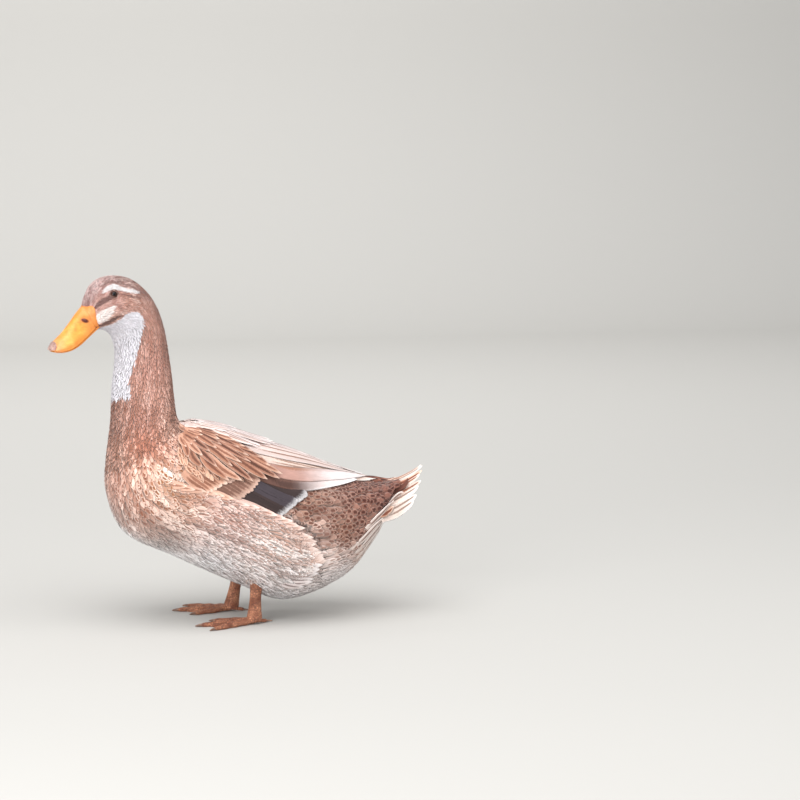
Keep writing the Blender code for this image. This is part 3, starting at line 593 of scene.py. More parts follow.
def wing_cover(t, angle, inside):
    """1 well inside the border of the folded wing, in degrees, and 0 outside it."""
    degrees = degrees_of(angle)
    deep = np.minimum(degrees - read_off(WING_EDGE, t), read_off(WING_EDGE, t, 2) - degrees)
    lengthwise = np.minimum(t - WING_EDGE[0, 0] - 0.25, WING_EDGE[-1, 0] - t - 0.3)
    return ease((deep - inside) / 3) * ease(lengthwise / 0.15)


def bill_rear(angle):
    return read_off(BILL_REAR, degrees_of(angle))


def lie_of(t, angle):
    """The direction that feathers lie in, parted round the eye."""
    along = unit(body(t + 0.03, angle) - body(t - 0.03, angle))
    points = body(t, angle)
    for side in (1, -1):
        eye = body(EYE_STATION, side * math.radians(EYE_DEGREES))
        away = points - eye
        distance = np.linalg.norm(away, axis=-1, keepdims=True)
        share = np.minimum((EYE_CLEARING * 0.95 / np.maximum(distance, 1e-6)) ** 2, 1.0)
        outwards = away / np.maximum(distance, 1e-6)
        along = along - share * (2 * np.sum(along * outwards, -1, keepdims=True) * outwards - along)
    return unit(along)


def opaque(marks, first):
    """One of the three colours in the numbers of a table, with full opacity, a row a point."""
    return np.concatenate([marks[..., first : first + 3], np.ones((*marks.shape[:-1], 1))], -1).reshape(-1, 4)


def feather_ground(name, points, lie, place, cover, region, marks, marked):
    """A helper mesh that stores what a feather rooted at each of its points needs."""
    numbers = {"cover": cover, "region": region, "marked": marked[..., 0], "mark_length": marked[..., 1]}
    numbers |= {"length": marks[..., 10] * MM, "width": marks[..., 11] * MM, "mark_share": marks[..., 9]}
    numbers |= {"mark_place": 0 * cover, "rim_side": 0 * cover + 1, "rim_width": 0 * cover + 0.25}
    stored = {key: values.ravel() for key, values in numbers.items()}
    stored |= {key: opaque(marks, first) for key, first in (("feather", 0), ("rim", 3), ("mark", 6))}
    stored |= {"lie": lie.reshape(-1, 3), "root_uv": place.reshape(-1, 3)}
    return mesh_object(name, points, quads_of(*cover.shape, closed=False), stored)


rows = (np.linspace(0, 5, 130), np.linspace(5, 10, 90)[1:], np.linspace(10, LAST - 0.02, 190)[1:])
columns = np.radians(np.linspace(-180, 180, 241))
grid = np.meshgrid(np.concatenate(rows), columns, indexing="ij")
grid_t, grid_degrees = grid[0], degrees_of(grid[1])
form_points = body(*grid)
marks = markings(*grid)
eyes = body(EYE_STATION, np.radians(EYE_DEGREES) * np.sign(grid[1]))
eye_distance = np.linalg.norm(form_points - eyes, axis=-1)
cover = ease((eye_distance - EYE_CLEARING) / (0.6 * MM)) * (1 - wing_cover(*grid, 7))
cover = cover * ease((grid_t - bill_rear(grid[1]) + 0.04) / 0.06)
cover = cover * ease((read_off(COAT_REAR, grid_degrees) - grid_t) / 0.1)
region = np.searchsorted(list(REGIONS.values()), grid_t)
above_middle = grid_degrees < (read_off(FLANK_EDGE, grid_t) + read_off(FLANK_EDGE, grid_t, 2)) / 2
region[(grid_t > 12.9) & (grid_t < 14.42) & above_middle & (inside_flank(*grid) < 0.5)] = 4
room = np.maximum((read_off(FLANK_END, grid_degrees) - grid_t) * STATION_MM + 4, 8)
room[(region != 3) | (grid_degrees >= 140)] = np.inf
marks[..., 10] = np.minimum(marks[..., 10], room)
marked = np.stack([read_off(MARKED, grid_t, column) for column in (1, 2)], -1)
marked[region == 4] = (0.85, 0.19)
beside_eye = ease((eye_distance - EYE_CLEARING) / (7 * MM))
marks[..., 10] *= 0.45 + 0.55 * beside_eye
marks[..., 11] *= 0.7 + 0.3 * beside_eye
form = feather_ground("plumage_form", form_points, lie_of(*grid), unwrap(*grid), cover, region, marks, marked)
print("form:", len(form.data.polygons), "faces")

# %% [markdown]
# ## One small feather
#
# A body feather is a thin vane with a slightly raised shaft. Here it is a low-poly leaf, two to four faces
# wide on top and one below, so that it is a closed solid. It is made flat at unit size, and it stores two
# numbers for its material: how far a point lies along the vane, and how far across it.

# %% A leaf-shaped vane as a template
def vane_template(name, rows, columns, profile):
    shares, widths = np.array(profile).T
    along, across = np.meshgrid(np.linspace(0, 1, rows), np.linspace(-1, 1, columns), indexing="ij")
    width = through(widths[:, None], np.interp(along, shares, np.arange(len(profile))))[..., 0]
    swell = (1 - across**2) * np.sqrt(np.clip(1.05 - along, 0, 1))
    points = np.stack([across * width / 2, along - 0.05 * across**2 * along, swell * 0.02], -1)
    values = {"along": along.ravel(), "across": across.ravel(), "swell": swell.ravel()}
    vane = closed_loft(name, points, values)
    print(name, len(vane.data.polygons), "faces")
    return vane


# each profile: share of the length, share of the width
SHORT = ((0, 0.55), (0.35, 1.0), (0.7, 0.85), (1, 0.15))
POINTED = ((0, 0.5), (0.3, 1.0), (0.65, 0.82), (0.88, 0.42), (1, 0.06))
LONG = ((0, 0.4), (0.3, 0.9), (0.6, 1.0), (0.8, 0.75), (0.92, 0.4), (1, 0.05))
ROUND = ((0, 0.5), (0.3, 0.95), (0.6, 1.0), (0.8, 0.9), (0.93, 0.6), (1, 0.16))
short_vane = vane_template("short_vane", 5, 3, SHORT)
pointed_vane = vane_template("pointed_vane", 7, 3, POINTED)
long_vane = vane_template("long_vane", 10, 3, LONG)
round_vane = vane_template("round_vane", 8, 5, ROUND)

# %% [markdown]
# ## The coat as a Geometry Nodes tree
#
# The tree scatters roots over one region of the form, no two closer than a spacing, and sets a vane at
# each, turned to the lie of the feathers and to the surface. A stiff vane would stand off a round body like
# a shingle on a barrel, so the last step lays every point of every vane back on the form: low at the root,
# and a little proud at the tip. That is what makes the tips overlap the next row and the coat look soft.

# %% The coat tree
def coat_tree():
    tree = bpy.data.node_groups.new("small feather coat", "GeometryNodeTree")
    face = tree.interface
    face.new_socket("Form", in_out="INPUT", socket_type="NodeSocketGeometry")
    sockets = {}
    kinds = {"Vane": "Object", "Region": "Int", "Seed": "Int", "Material": "Material"}
    kinds |= dict.fromkeys(("Spacing", "Root depth", "Tip height", "Vane thickness", "Unevenness"), "Float")
    for name, kind in kinds.items():
        sockets[name] = face.new_socket(name, in_out="INPUT", socket_type="NodeSocket" + kind).identifier
    face.new_socket("Coat", in_out="OUTPUT", socket_type="NodeSocketGeometry")
    given = add(tree, "NodeGroupInput", out=None).outputs

    stored = {"region": "INT", "lie": "FLOAT_VECTOR", "root_uv": "FLOAT_VECTOR"}
    stored |= dict.fromkeys(("cover", "width", "length", "chance", "along", "across", "swell"), "FLOAT")
    for name, kind in stored.items():
        reader = "GeometryNodeInputNamedAttribute"
        stored[name] = add(tree, reader, {"Name": name}, "Attribute", data_type=kind)
    chances = {"vane": (0.0, 1.0), "sway": (-1.0, 1.0), "length": (0.8, 1.2), "width": (0.85, 1.15)}
    for number, (use, (low, high)) in enumerate(chances.items()):
        seed = add(tree, "ADD", (given["Seed"], number + 1.0))
        chances[use] = add(tree, "FunctionNodeRandomValue", {2: low, 3: high, "Seed": seed}, 1)

    wanted = {2: stored["region"], 3: given["Region"]}
    here = add(tree, "FunctionNodeCompare", wanted, data_type="INT", operation="EQUAL")
    crowd = add(tree, "DIVIDE", (5.0, add(tree, "MULTIPLY", (given["Spacing"], given["Spacing"]))))
    scattered = {"Mesh": given["Form"], "Selection": here, "Seed": given["Seed"], "Density Max": crowd}
    scattered |= {"Density Factor": stored["cover"], "Distance Min": given["Spacing"]}
    roots = add(tree, "GeometryNodeDistributePointsOnFaces", scattered, None, distribute_method="POISSON")
    points = {"Geometry": roots.outputs["Points"], "Name": "chance", "Value": chances["vane"]}
    varied = add(tree, "GeometryNodeStoreNamedAttribute", points, data_type="FLOAT", domain="POINT")
    axes = {"Primary Axis": roots.outputs["Normal"], "Secondary Axis": stored["lie"]}
    turned = add(tree, "FunctionNodeAxesToRotation", axes, primary_axis="Z", secondary_axis="Y")
    angle = add(tree, "MULTIPLY", (chances["sway"], given["Unevenness"]))
    sway = add(tree, "FunctionNodeAxisAngleToRotation", {"Axis": (0, 0, 1), "Angle": angle})
    turns = {"Rotation": turned, "Rotate By": sway}
    swayed = add(tree, "FunctionNodeRotateRotation", turns, rotation_space="LOCAL")
    width = add(tree, "MULTIPLY", (stored["width"], chances["width"]))
    length = add(tree, "MULTIPLY", (stored["length"], chances["length"]))
    size = add(tree, "CombineXYZ", (width, length, stored["length"]))
    vane = add(tree, "GeometryNodeObjectInfo", {"Object": given["Vane"]}, "Geometry")
    where = {"Points": varied, "Instance": vane, "Rotation": swayed, "Scale": size}
    real = add(tree, "GeometryNodeRealizeInstances", (add(tree, "GeometryNodeInstanceOnPoints", where),))

    nearest = {"GeometryNodeInputPosition": None, "GeometryNodeInputNormal": None}
    for kind in nearest:
        on_form = {"Mesh": given["Form"], "Value": add(tree, kind)}
        sampler = "GeometryNodeSampleNearestSurface"
        nearest[kind] = add(tree, sampler, on_form, "Value", data_type="FLOAT_VECTOR")
    ground, upwards = nearest.values()
    tip = add(tree, "MULTIPLY", (given["Tip height"], add(tree, "ADD", (stored["chance"], 0.5))))
    rise = add(tree, "MULTIPLY", (stored["along"], add(tree, "ADD", (tip, given["Root depth"]))))
    thick = add(tree, "MULTIPLY", (stored["swell"], given["Vane thickness"]))
    height = add(tree, "ADD", (add(tree, "SUBTRACT", (rise, given["Root depth"])), thick))
    lifted = add(tree, "VectorMath", {0: upwards, "Scale": height}, operation="SCALE")
    spot = add(tree, "VectorMath", (ground, lifted), operation="ADD")
    laid = add(tree, "GeometryNodeSetPosition", {"Geometry": real, "Position": spot})
    sideways = add(tree, "MULTIPLY", (stored["across"], 0.0015))
    lengthwise = add(tree, "MULTIPLY", (add(tree, "SUBTRACT", (stored["along"], 0.5)), 0.003))
    patch = add(tree, "CombineXYZ", (sideways, lengthwise))
    place = add(tree, "VectorMath", (stored["root_uv"], patch), operation="ADD")
    chart = {"Geometry": laid, "Name": "OFBake", "Value": place}
    mapped = add(tree, "GeometryNodeStoreNamedAttribute", chart, data_type="FLOAT2", domain="CORNER")
    dressed = add(tree, "GeometryNodeSetMaterial", {"Geometry": mapped, "Material": given["Material"]})
    add(tree, "NodeGroupOutput", {"Coat": dressed}, None)
    return tree, sockets


coat, coat_inputs = coat_tree()
print("coat tree:", len(coat.nodes), "nodes, inputs", ", ".join(coat_inputs))

# %% [markdown]
# ## What a feather's surface looks like
#
# A vane is made of keratin barbs that run outwards and forwards from the shaft. It is matt, a little silky,
# and its colour varies along the barbs. The material reads the numbers stored on the vane: it mixes the
# feather's colour, the mark in its middle and the paler rim, with edges broken up along the barbs, and
# raises fine barb ridges in the bump. Real barbs stand about 0.3 mm apart. They are drawn at 0.5 mm, as
# fine as a close view shows.

# %% The feather material
def feather_material(name, barb_pitch, shaft_width, rough, sheen, rim_strength, streaks, ragged):
    material, tree, shader = new_material(name)
    numbers = "along across chance width length mark_place mark_share mark_length marked rim_side rim_width"
    read = {key: add(tree, "Attribute", out="Fac", attribute_name=key) for key in numbers.split()}
    codes = ("feather", "rim", "mark")
    tint = {key: add(tree, "Attribute", out="Color", attribute_name=key) for key in codes}
    soft = {"interpolation_type": "SMOOTHSTEP"}

    along, across, chance = read["along"], read["across"], read["chance"]
    off_shaft = add(tree, "ABSOLUTE", (across,))
    sideways = add(tree, "MULTIPLY", (across, add(tree, "MULTIPLY", (read["width"], 0.5))))
    down_vane = add(tree, "MULTIPLY", (along, read["length"]))
    backswept = add(tree, "MULTIPLY", (add(tree, "ABSOLUTE", (sideways,)), 0.55))
    barb = add(tree, "DIVIDE", (add(tree, "SUBTRACT", (down_vane, backswept)), barb_pitch))
    layer = add(tree, "MULTIPLY", (chance, 41.0))
    by_barb = (add(tree, "MULTIPLY", (barb, 0.45)), across, layer)
    by_streak = (add(tree, "DIVIDE", (sideways, 0.9 * MM)), add(tree, "DIVIDE", (down_vane, 7 * MM)), layer)
    clouds = []
    for spot in (by_barb, by_streak):
        spot = add(tree, "CombineXYZ", spot)
        noise = add(tree, "TexNoise", {"Vector": spot, "Scale": 1.0})
        clouds.append(add(tree, "SUBTRACT", (noise, 0.5)))
    broken, streak = clouds

    off_middle = add(tree, "SUBTRACT", (across, read["mark_place"]))
    spread = add(tree, "DIVIDE", (off_middle, add(tree, "MAXIMUM", (read["mark_share"], 0.02))))
    off_centre = add(tree, "SUBTRACT", (along, add(tree, "SUBTRACT", (0.93, read["mark_length"]))))
    lengthwise = add(tree, "DIVIDE", (off_centre, read["mark_length"]))
    powers = (add(tree, "POWER", (spread, 2.0)), add(tree, "POWER", (lengthwise, 4.0)))
    off_mark = add(tree, "SQRT", (add(tree, "ADD", powers),))
    frayed = add(tree, "ADD", (off_mark, add(tree, "MULTIPLY", (broken, 1.1))))
    in_mark = add(tree, "MapRange", (frayed, 1.25, 0.55), **soft)
    drawn = add(tree, "FRACT", (add(tree, "MULTIPLY", (chance, 7.13)),))
    over = add(tree, "SUBTRACT", (drawn, read["marked"]))
    has_mark = add(tree, "MapRange", (over, 0.12, -0.12), **soft)
    towards_tip = add(tree, "DIVIDE", (add(tree, "SUBTRACT", (along, 0.55)), 0.45))
    at_side = add(tree, "MULTIPLY", (off_shaft, read["rim_side"]))
    edge = add(tree, "MAXIMUM", (at_side, towards_tip))
    to_rim = add(tree, "ADD", (edge, add(tree, "MULTIPLY", (broken, ragged))))
    to_rim = add(tree, "ADD", (to_rim, read["rim_width"]))
    in_rim = add(tree, "MapRange", (to_rim, 0.85, 1.2), **soft)

    share = add(tree, "MULTIPLY", (in_mark, has_mark))
    colour = add(tree, "Mix", {0: share, 6: tint["feather"], 7: tint["mark"]}, **RGBA)
    share = add(tree, "MULTIPLY", (in_rim, rim_strength))
    colour = add(tree, "Mix", {0: share, 6: colour, 7: tint["rim"]}, **RGBA)
    on_shaft = add(tree, "MapRange", (off_shaft, shaft_width, shaft_width * 0.3), **soft)
    place = add(tree, "TexCoord", out="Object")
    patch = add(tree, "TexNoise", {"Vector": place, "Scale": 70.0, "Detail": 1.0})
    own = add(tree, "ADD", (add(tree, "MULTIPLY", (chance, 0.22)), 0.80))
    shade = add(tree, "ADD", (add(tree, "MULTIPLY", (streak, streaks)), own))
    shade = add(tree, "ADD", (shade, add(tree, "MULTIPLY", (patch, 0.18))))
    grey = add(tree, "CombineColor", (shade, shade, shade))
    colour = add(tree, "Mix", {0: 1.0, 6: colour, 7: grey}, **TINT)

    ridges = add(tree, "SINE", (add(tree, "MULTIPLY", (barb, 2 * math.pi)),))
    relief = (add(tree, "MULTIPLY", (ridges, 0.5)), add(tree, "MULTIPLY", (on_shaft, 1.5)))
    height = add(tree, "ADD", relief)
    bump = add(tree, "Bump", {"Height": height, "Strength": 0.3, "Distance": 0.00012})
    surface = {"Base Color": colour, "Normal": bump, "Roughness": rough, "IOR": 1.54}  # keratin
    surface |= {"Specular IOR Level": 0.25, "Sheen Weight": sheen, "Sheen Roughness": 0.45}
    add(tree, shader, surface)
    return material


SOFT_BARBS = "contour feather keratin, soft matt barbs"
small_feathers = feather_material(SOFT_BARBS, 0.5 * MM, 0.10, 0.78, 0.25, 0.42, 0.5, 0.5)
print("material:", small_feathers.name)

# %% [markdown]
# ## Laying the coat
#
# Each region gets its own spacing and vane. The feathers are smallest and densest on the face, where roots
# stand 1.4 mm apart, narrow and pointed down the neck, and largest on the breast, belly and flank.

# %% The coat, region by region
COATS = {
    # vane, spacing, root depth, tip height, vane thickness in mm, unevenness in radians, seed
    "face": (short_vane, 1.40, 0.7, 0.28, 0.18, 0.16, 11),
    "neck": (pointed_vane, 2.05, 1.2, 0.45, 0.25, 0.16, 12),
    "breast": (round_vane, 3.7, 2.0, 0.32, 0.26, 0.20, 13),
    "flank": (long_vane, 3.6, 2.2, 0.32, 0.24, 0.13, 14),
    "rump": (round_vane, 5.2, 2.0, 0.40, 0.30, 0.22, 15),
}


def grow_coat(name, ground, region, vane, *settings):
    piece = bpy.data.objects.new("coat_" + name, ground.data)
    bpy.context.collection.objects.link(piece)
    modifier = piece.modifiers.new("feathers", "NODES")
    modifier.node_group = coat
    spacing, depth, height, thickness, unevenness, seed = settings
    spacing = spacing * 1.0
    values = {"Vane": vane, "Region": region, "Spacing": spacing * MM, "Seed": seed}
    values |= {"Root depth": depth * MM, "Tip height": height * MM, "Vane thickness": thickness * MM}
    values |= {"Unevenness": unevenness, "Material": small_feathers}
    for key, value in values.items():
        modifier[coat_inputs[key]] = value
    return settle(piece)


for region_number, (name, settings) in enumerate(COATS.items()):
    finish(grow_coat(name, form, region_number, *settings), small_feathers)

# %% [markdown]
# ## The skin
#
# Under the feathers is one continuous skin from the bill to the tail, with no seam at the neck or the
# shoulders. It lies inside the coat by the coat's depth: under a millimetre on the face and about three on
# the body. It carries the same markings, darker, so that a gap between two feathers reads as shade. It
# sinks behind the eyes to make the orbits.

# %% The skin
def skin_depth(t, angle):
    stations, depths = (0, 4.5, 6, 9, 11, 15.7, 16.6, 17.2, 18), (0.9, 1.0, 1.6, 2.0, 3.0, 2.6, 6, 5, 1.4)
    depth = np.interp(t, stations, depths) * MM
    for side in (1, -1):
        eye = body(EYE_STATION, side * math.radians(EYE_DEGREES))
        near = np.linalg.norm(body(t, angle) - eye, axis=-1)
        depth = depth + 3.2 * MM * ease((5.2 * MM - near) / (1.6 * MM))
    return depth


skin_rows = np.concatenate([np.linspace(0.02, 5, 150), np.linspace(5, LAST - 0.05, 170)[1:]])
skin_columns = np.radians(np.linspace(-180, 180, 121)[:-1])
skin_t, skin_angle = np.meshgrid(skin_rows, skin_columns, indexing="ij")
skin_marks = markings(skin_t, skin_angle)
skin_colours = {"feather": opaque(skin_marks, 0), "mark": opaque(skin_marks, 6)}
skin = closed_loft("skin", body(skin_t, skin_angle, -skin_depth(skin_t, skin_angle)), skin_colours)
spots = unwrap(skin_t, skin_angle).reshape(-1, 3)[corners_of(skin), :2]
on_seam, corners = [], [face.loop_total for face in skin.data.polygons]
for face in skin.data.polygons:
    places = spots[list(face.loop_indices), 0]
    on_seam.append(places.max() - places.min() > 0.5)
spots[np.repeat(on_seam, corners) & (spots[:, 0] < 0.5), 0] += 0.96
write_map(skin, spots)

skin_material, tree, shader = new_material("down and skin under the plumage, soft matt")
feather_colour = add(tree, "Attribute", attribute_name="feather")
mark_colour = add(tree, "Attribute", attribute_name="mark")
place = add(tree, "TexCoord", out="Object")
down = add(tree, "TexNoise", {"Vector": place, "Scale": 900.0, "Detail": 3.0})
blend = add(tree, "Mix", {0: down, 6: mark_colour, 7: feather_colour}, **RGBA)
downy = add(tree, "Bump", {"Height": down, "Strength": 0.5, "Distance": 0.0003})
add(tree, shader, {"Base Color": blend, "Normal": downy, "Roughness": 0.9})
finish(skin, skin_material, ("head", "neck", "torso"))

# %% [markdown]
# ## Large feathers
#
# Wing, tail and flank feathers are few, and each has its own place and marking, so they are laid one by
# one. A feather follows a path over a sheet, which is any function of two numbers and a height that gives
# points: the side of the body, the folded wing or the tail's fan. Its vane is measured out on both sides of
# the path along the surface, so it bends with the body. It is a thin closed leaf, arched a little over its
# shaft.

# %% One large feather on a sheet
def glide(sheet, p, q, direction, distance):
    """The place on a sheet that lies a distance away in a direction across it."""
    small = 0.01
    here = sheet(p, q)
    by_p = (sheet(p + small, q) - here) / small
    by_q = (sheet(p, q + small) - here) / small
    wanted = direction * distance[..., None]
    a, b, c = (by_p * by_p).sum(-1), (by_p * by_q).sum(-1), (by_q * by_q).sum(-1)
    e, f = (by_p * wanted).sum(-1), (by_q * wanted).sum(-1)
    area = a * c - b * b
    return p + (c * e - b * f) / area, q + (a * f - b * e) / area


VANE_SHAPES = {
    # share of the length, share of the width
    "rounded": ((0, 0.45), (0.2, 0.85), (0.5, 1.0), (0.78, 0.95), (0.92, 0.68), (0.98, 0.36), (1, 0.08)),
    "pointed": ((0, 0.45), (0.25, 0.95), (0.5, 1.0), (0.75, 0.80), (0.9, 0.48), (1, 0.04)),
    "long": ((0, 0.45), (0.2, 0.85), (0.5, 1.0), (0.8, 0.80), (0.93, 0.50), (1, 0.05)),
    "square": ((0, 0.45), (0.3, 0.9), (0.75, 1.0), (0.93, 0.92), (0.985, 0.62), (1, 0.2)),
}
FEATHER_ROWS = 20
FEATHER_COLUMNS = 11
dice = np.random.default_rng(2024)


def lay_feather(sheet, path, half_width, shape, root_height, tip_height, colours, camber=0.5, thickness=0.35):
    """The rings of one feather and the numbers its material reads. Sizes are in millimetres."""
    feather, rim, mark, share, mark_place, rim_width, rim_side = colours
    along = 1 - (1 - np.linspace(0, 1, FEATHER_ROWS)) ** 1.25
    spots = through(path, along * (len(path) - 1))
    p, q = spots[:, 0], spots[:, 1]
    centre = sheet(p, q)
    sideways = np.cross(normals(sheet, p, q), unit(np.gradient(centre, axis=0)))
    across = np.linspace(-1, 1, FEATHER_COLUMNS)
    width = half_width * MM * read_off(VANE_SHAPES[shape], along)
    over_p, over_q = glide(sheet, p[:, None], q[:, None], sideways[:, None, :], across[None] * width[:, None])
    rise = (root_height + (tip_height - root_height) * along**1.2)[:, None] * MM
    arch = 1 - across[None] ** 2
    thin = np.sqrt(np.clip(1.02 - along, 0, 1))[:, None]
    top = sheet(over_p, over_q, rise + camber * MM * arch)
    under = sheet(over_p, over_q, rise + (camber - thickness * thin) * MM * arch)[:, 1:-1]
    rings = np.concatenate([top, under[:, ::-1]], 1)
    side = np.concatenate([across, across[1:-1][::-1]])
    grid_along, grid_across = (values.ravel() for values in np.broadcast_arrays(along[:, None], side[None]))
    length = np.linalg.norm(np.diff(centre, axis=0), axis=1).sum()
    same = {"chance": dice.random(), "length": length, "width": 2 * half_width * MM, "mark_share": share}
    same |= {"mark_place": mark_place, "mark_length": 0.36, "marked": 1.0}
    same |= {"rim_width": rim_width, "rim_side": rim_side}
    values = {key: np.full(grid_along.size, value) for key, value in same.items()}
    values |= {"along": grid_along, "across": grid_across}
    for key, codes in (("feather", feather), ("rim", rim), ("mark", mark)):
        ends = [np.array(paint(code)) for code in codes.split()]
        values[key] = ends[0] + (ends[-1] - ends[0]) * ease(3 * grid_along[:, None] - 1.15)
    return rings.reshape(-1, 3), values


def gather(name, feathers, material, replaced=(), mirror=False):
    """One object from many feathers, each a closed leaf, with its own cell on the map for the export."""
    sides = 2 * FEATHER_COLUMNS - 2
    one = closed_faces(FEATHER_ROWS, sides)
    size = FEATHER_ROWS * sides
    points = np.concatenate([rings for rings, _ in feathers])
    faces = [[i + n * size for i in face] for n in range(len(feathers)) for face in one]
    if mirror:
        points = points * (1, -1, 1)
    else:
        faces = [face[::-1] for face in faces]
    values = {key: np.concatenate([v[key] for _, v in feathers]) for key in feathers[0][1]}
    thing = mesh_object(name, points, faces, values)
    cells = math.ceil(math.sqrt(len(feathers)))
    corner = corners_of(thing)
    number, place = corner // size, corner % size
    column = place % sides
    below = column >= FEATHER_COLUMNS
    half = np.where(below, (sides - column) / (FEATHER_COLUMNS - 1), column / (FEATHER_COLUMNS - 1))
    u = (number % cells + 0.04 + 0.44 * half + 0.48 * below) / cells
    v = (number // cells + 0.04 + 0.92 * values["along"][corner]) / cells
    write_map(thing, np.stack([u, v], -1))
    return finish(thing, material, replaced)


def lay_tier(sheet, count, roots, tips, half_width, shape, heights, colours, bow=0.0, loose=1.0):
    """A row of feathers with their roots and tips along two lines, each a little over the one before."""
    row = []
    colours = [colours] if isinstance(colours[0], str) else colours
    for i in range(count):
        share = i / max(count - 1, 1)
        root = through(roots, np.array(share * (len(roots) - 1)))
        tip = through(tips, np.array(share * (len(tips) - 1)))
        middle = (root + tip) / 2 + np.array((0, bow))
        path = np.array((root, middle, tip)) + dice.normal(0, loose, (3, 2)) * (0.012, 0.35)
        path[:, 1] = np.radians(path[:, 1])
        blend = colours[min(int(share * len(colours)), len(colours) - 1)]
        wide = half_width * (0.93 + 0.14 * dice.random())
        low, high = heights[0] + 0.4 * share, heights[1] + 0.4 * share
        row.append(lay_feather(sheet, path, wide, shape, low, high, blend, heights[2]))
    return row


print("shapes of vane:", ", ".join(VANE_SHAPES))

# %% [markdown]
# ## The folded wings
#
# A duck's folded wing shows its feathers in tiers, each over the roots of the next one back: small coverts
# at the shoulder, the greater coverts, then the slate secondaries with their white tips. The long tertials
# and the scapulars, which grow from the shoulder, lie over them all like a roof, and reach the rump. They
# are laid from the lowest tier up. Their colours follow this breed: golden brown with pale rims, and cream
# tertials.

# %% The tiers of the left wing, mirrored for the right
def folded_wing(t, angle, height=0.0):
    """The side of the body under the folded wing, which swells a little in its middle."""
    t, angle = together(t, angle)
    upper, lower = read_off(WING_EDGE, t), read_off(WING_EDGE, t, 2)
    share = np.clip((np.degrees(angle) - upper) / (lower - upper), 0, 1)
    swell = 0.3 + 1.2 * np.sin(math.pi * share)
    return raised(outline, t, angle, swell * MM + height)


# feather, rim, mark, mark's share, mark's place across, rim's width, rim along the sides
# two codes run from root to tip
GOLDEN = ("#a3715a", "#f2d3c1", "#6e4332", 0.36, 0.1, 0.16, 1.0)
GOLDEN_DARK = ("#a0705c", "#f0cfbd", "#583324", 0.42, 0.0, 0.14, 1.0)
GOLDEN_PALE = ("#c2927b", "#f7dccb", "#8a5b47", 0.36, 0.0, 0.16, 1.0)
GREYISH = ("#a5806f", "#d0afa0", "#765346", 0.40, 0.0, 0.2, 0.5)
SLATE = ("#40373d", "#fdfafb", "#2a2126", 0.5, -0.8, 0.11, 0.0)
SLATE_BROWN = ("#352726", "#fdfafb", "#231716", 0.5, -0.8, 0.11, 0.0)
CREAM = ("#dccbc8", "#f8eeeb", "#8a6a60", 0.20, 0.1, 0.2, 1.0)
CREAM_TAN = ("#d8c2bb", "#f8edea", "#9a7566", 0.28, 0.2, 0.16, 1.0)
PINK_CREAM = ("#b98f83 #e9dddc", "#dcbdb0 #fffafb", "#a3745f #e0cdca", 0.40, 0.8, 0.05, 0.9)
BROWN_WEB = ("#604239 #efe3e2", "#553930 #fffafb", "#4a312a #ddcdca", 0.6, -0.2, 0.24, 1.0)
PRIMARY = ("#d9c2b6", "#f6ece6", "#9c7d6f", 0.35, -0.4, 0.15, 1.0)
SCAPULAR = (GOLDEN, GOLDEN_PALE, GOLDEN_DARK, GOLDEN, GOLDEN_DARK, GOLDEN_PALE, GOLDEN, GOLDEN_DARK, GOLDEN)
TOP = (CREAM_TAN, CREAM, CREAM_TAN, CREAM, CREAM)

WING_TIERS = (
    # tier, feathers, roots, tips, half width, shape, root and tip height and camber, colours, bow in degrees
    ("primaries", 5, ((12.5, 44), (12.9, 24)), ((15.75, 18), (16.15, 6)), 6.5, "long", (0.2, 0.9, 0.5),
     PRIMARY, 3),
    ("secondaries", 15, ((12.2, 76), (12.7, 52)), ((13.5, 84), (14.12, 60)), 6, "square", (0, 1.2, 0.15),
     (SLATE_BROWN, SLATE_BROWN, SLATE, SLATE, SLATE_BROWN), 1),
    ("greater coverts", 11, ((11.5, 79), (12.2, 54)), ((12.5, 87), (12.78, 76), (13.02, 61)), 5.6,
     "rounded", (0.6, 1.4, 0.2), GREYISH, 1),
    ("median coverts", 12, ((11.2, 76), (11.8, 52)), ((12.05, 86), (12.4, 72), (12.8, 58)), 5.2, "rounded",
     (1, 2, 0.3), (GOLDEN_PALE, GREYISH), 1),
    ("lowest tertial", 1, ((12.75, 58),), ((15.4, 24),), 8.6, "long", (1, 1.9, 0.4), BROWN_WEB, 10.5),
    ("broad tertial", 1, ((12.7, 50),), ((15.7, 8),), 10.5, "long", (1.4, 2.7, 0.6), PINK_CREAM, 9.5),
    ("upper tertials", 3, ((12.4, 33), (12, 16)), ((15.45, 6), (14.7, 2)), 8, "long", (1.9, 3.2, 0.6),
     CREAM_TAN, 3),
    ("top tertials", 3, ((12.2, 20), (12.2, 5)), ((15, 4), (14.3, 1.5)), 7, "long", (2.2, 3.2, 0.5), CREAM,
     1),
)
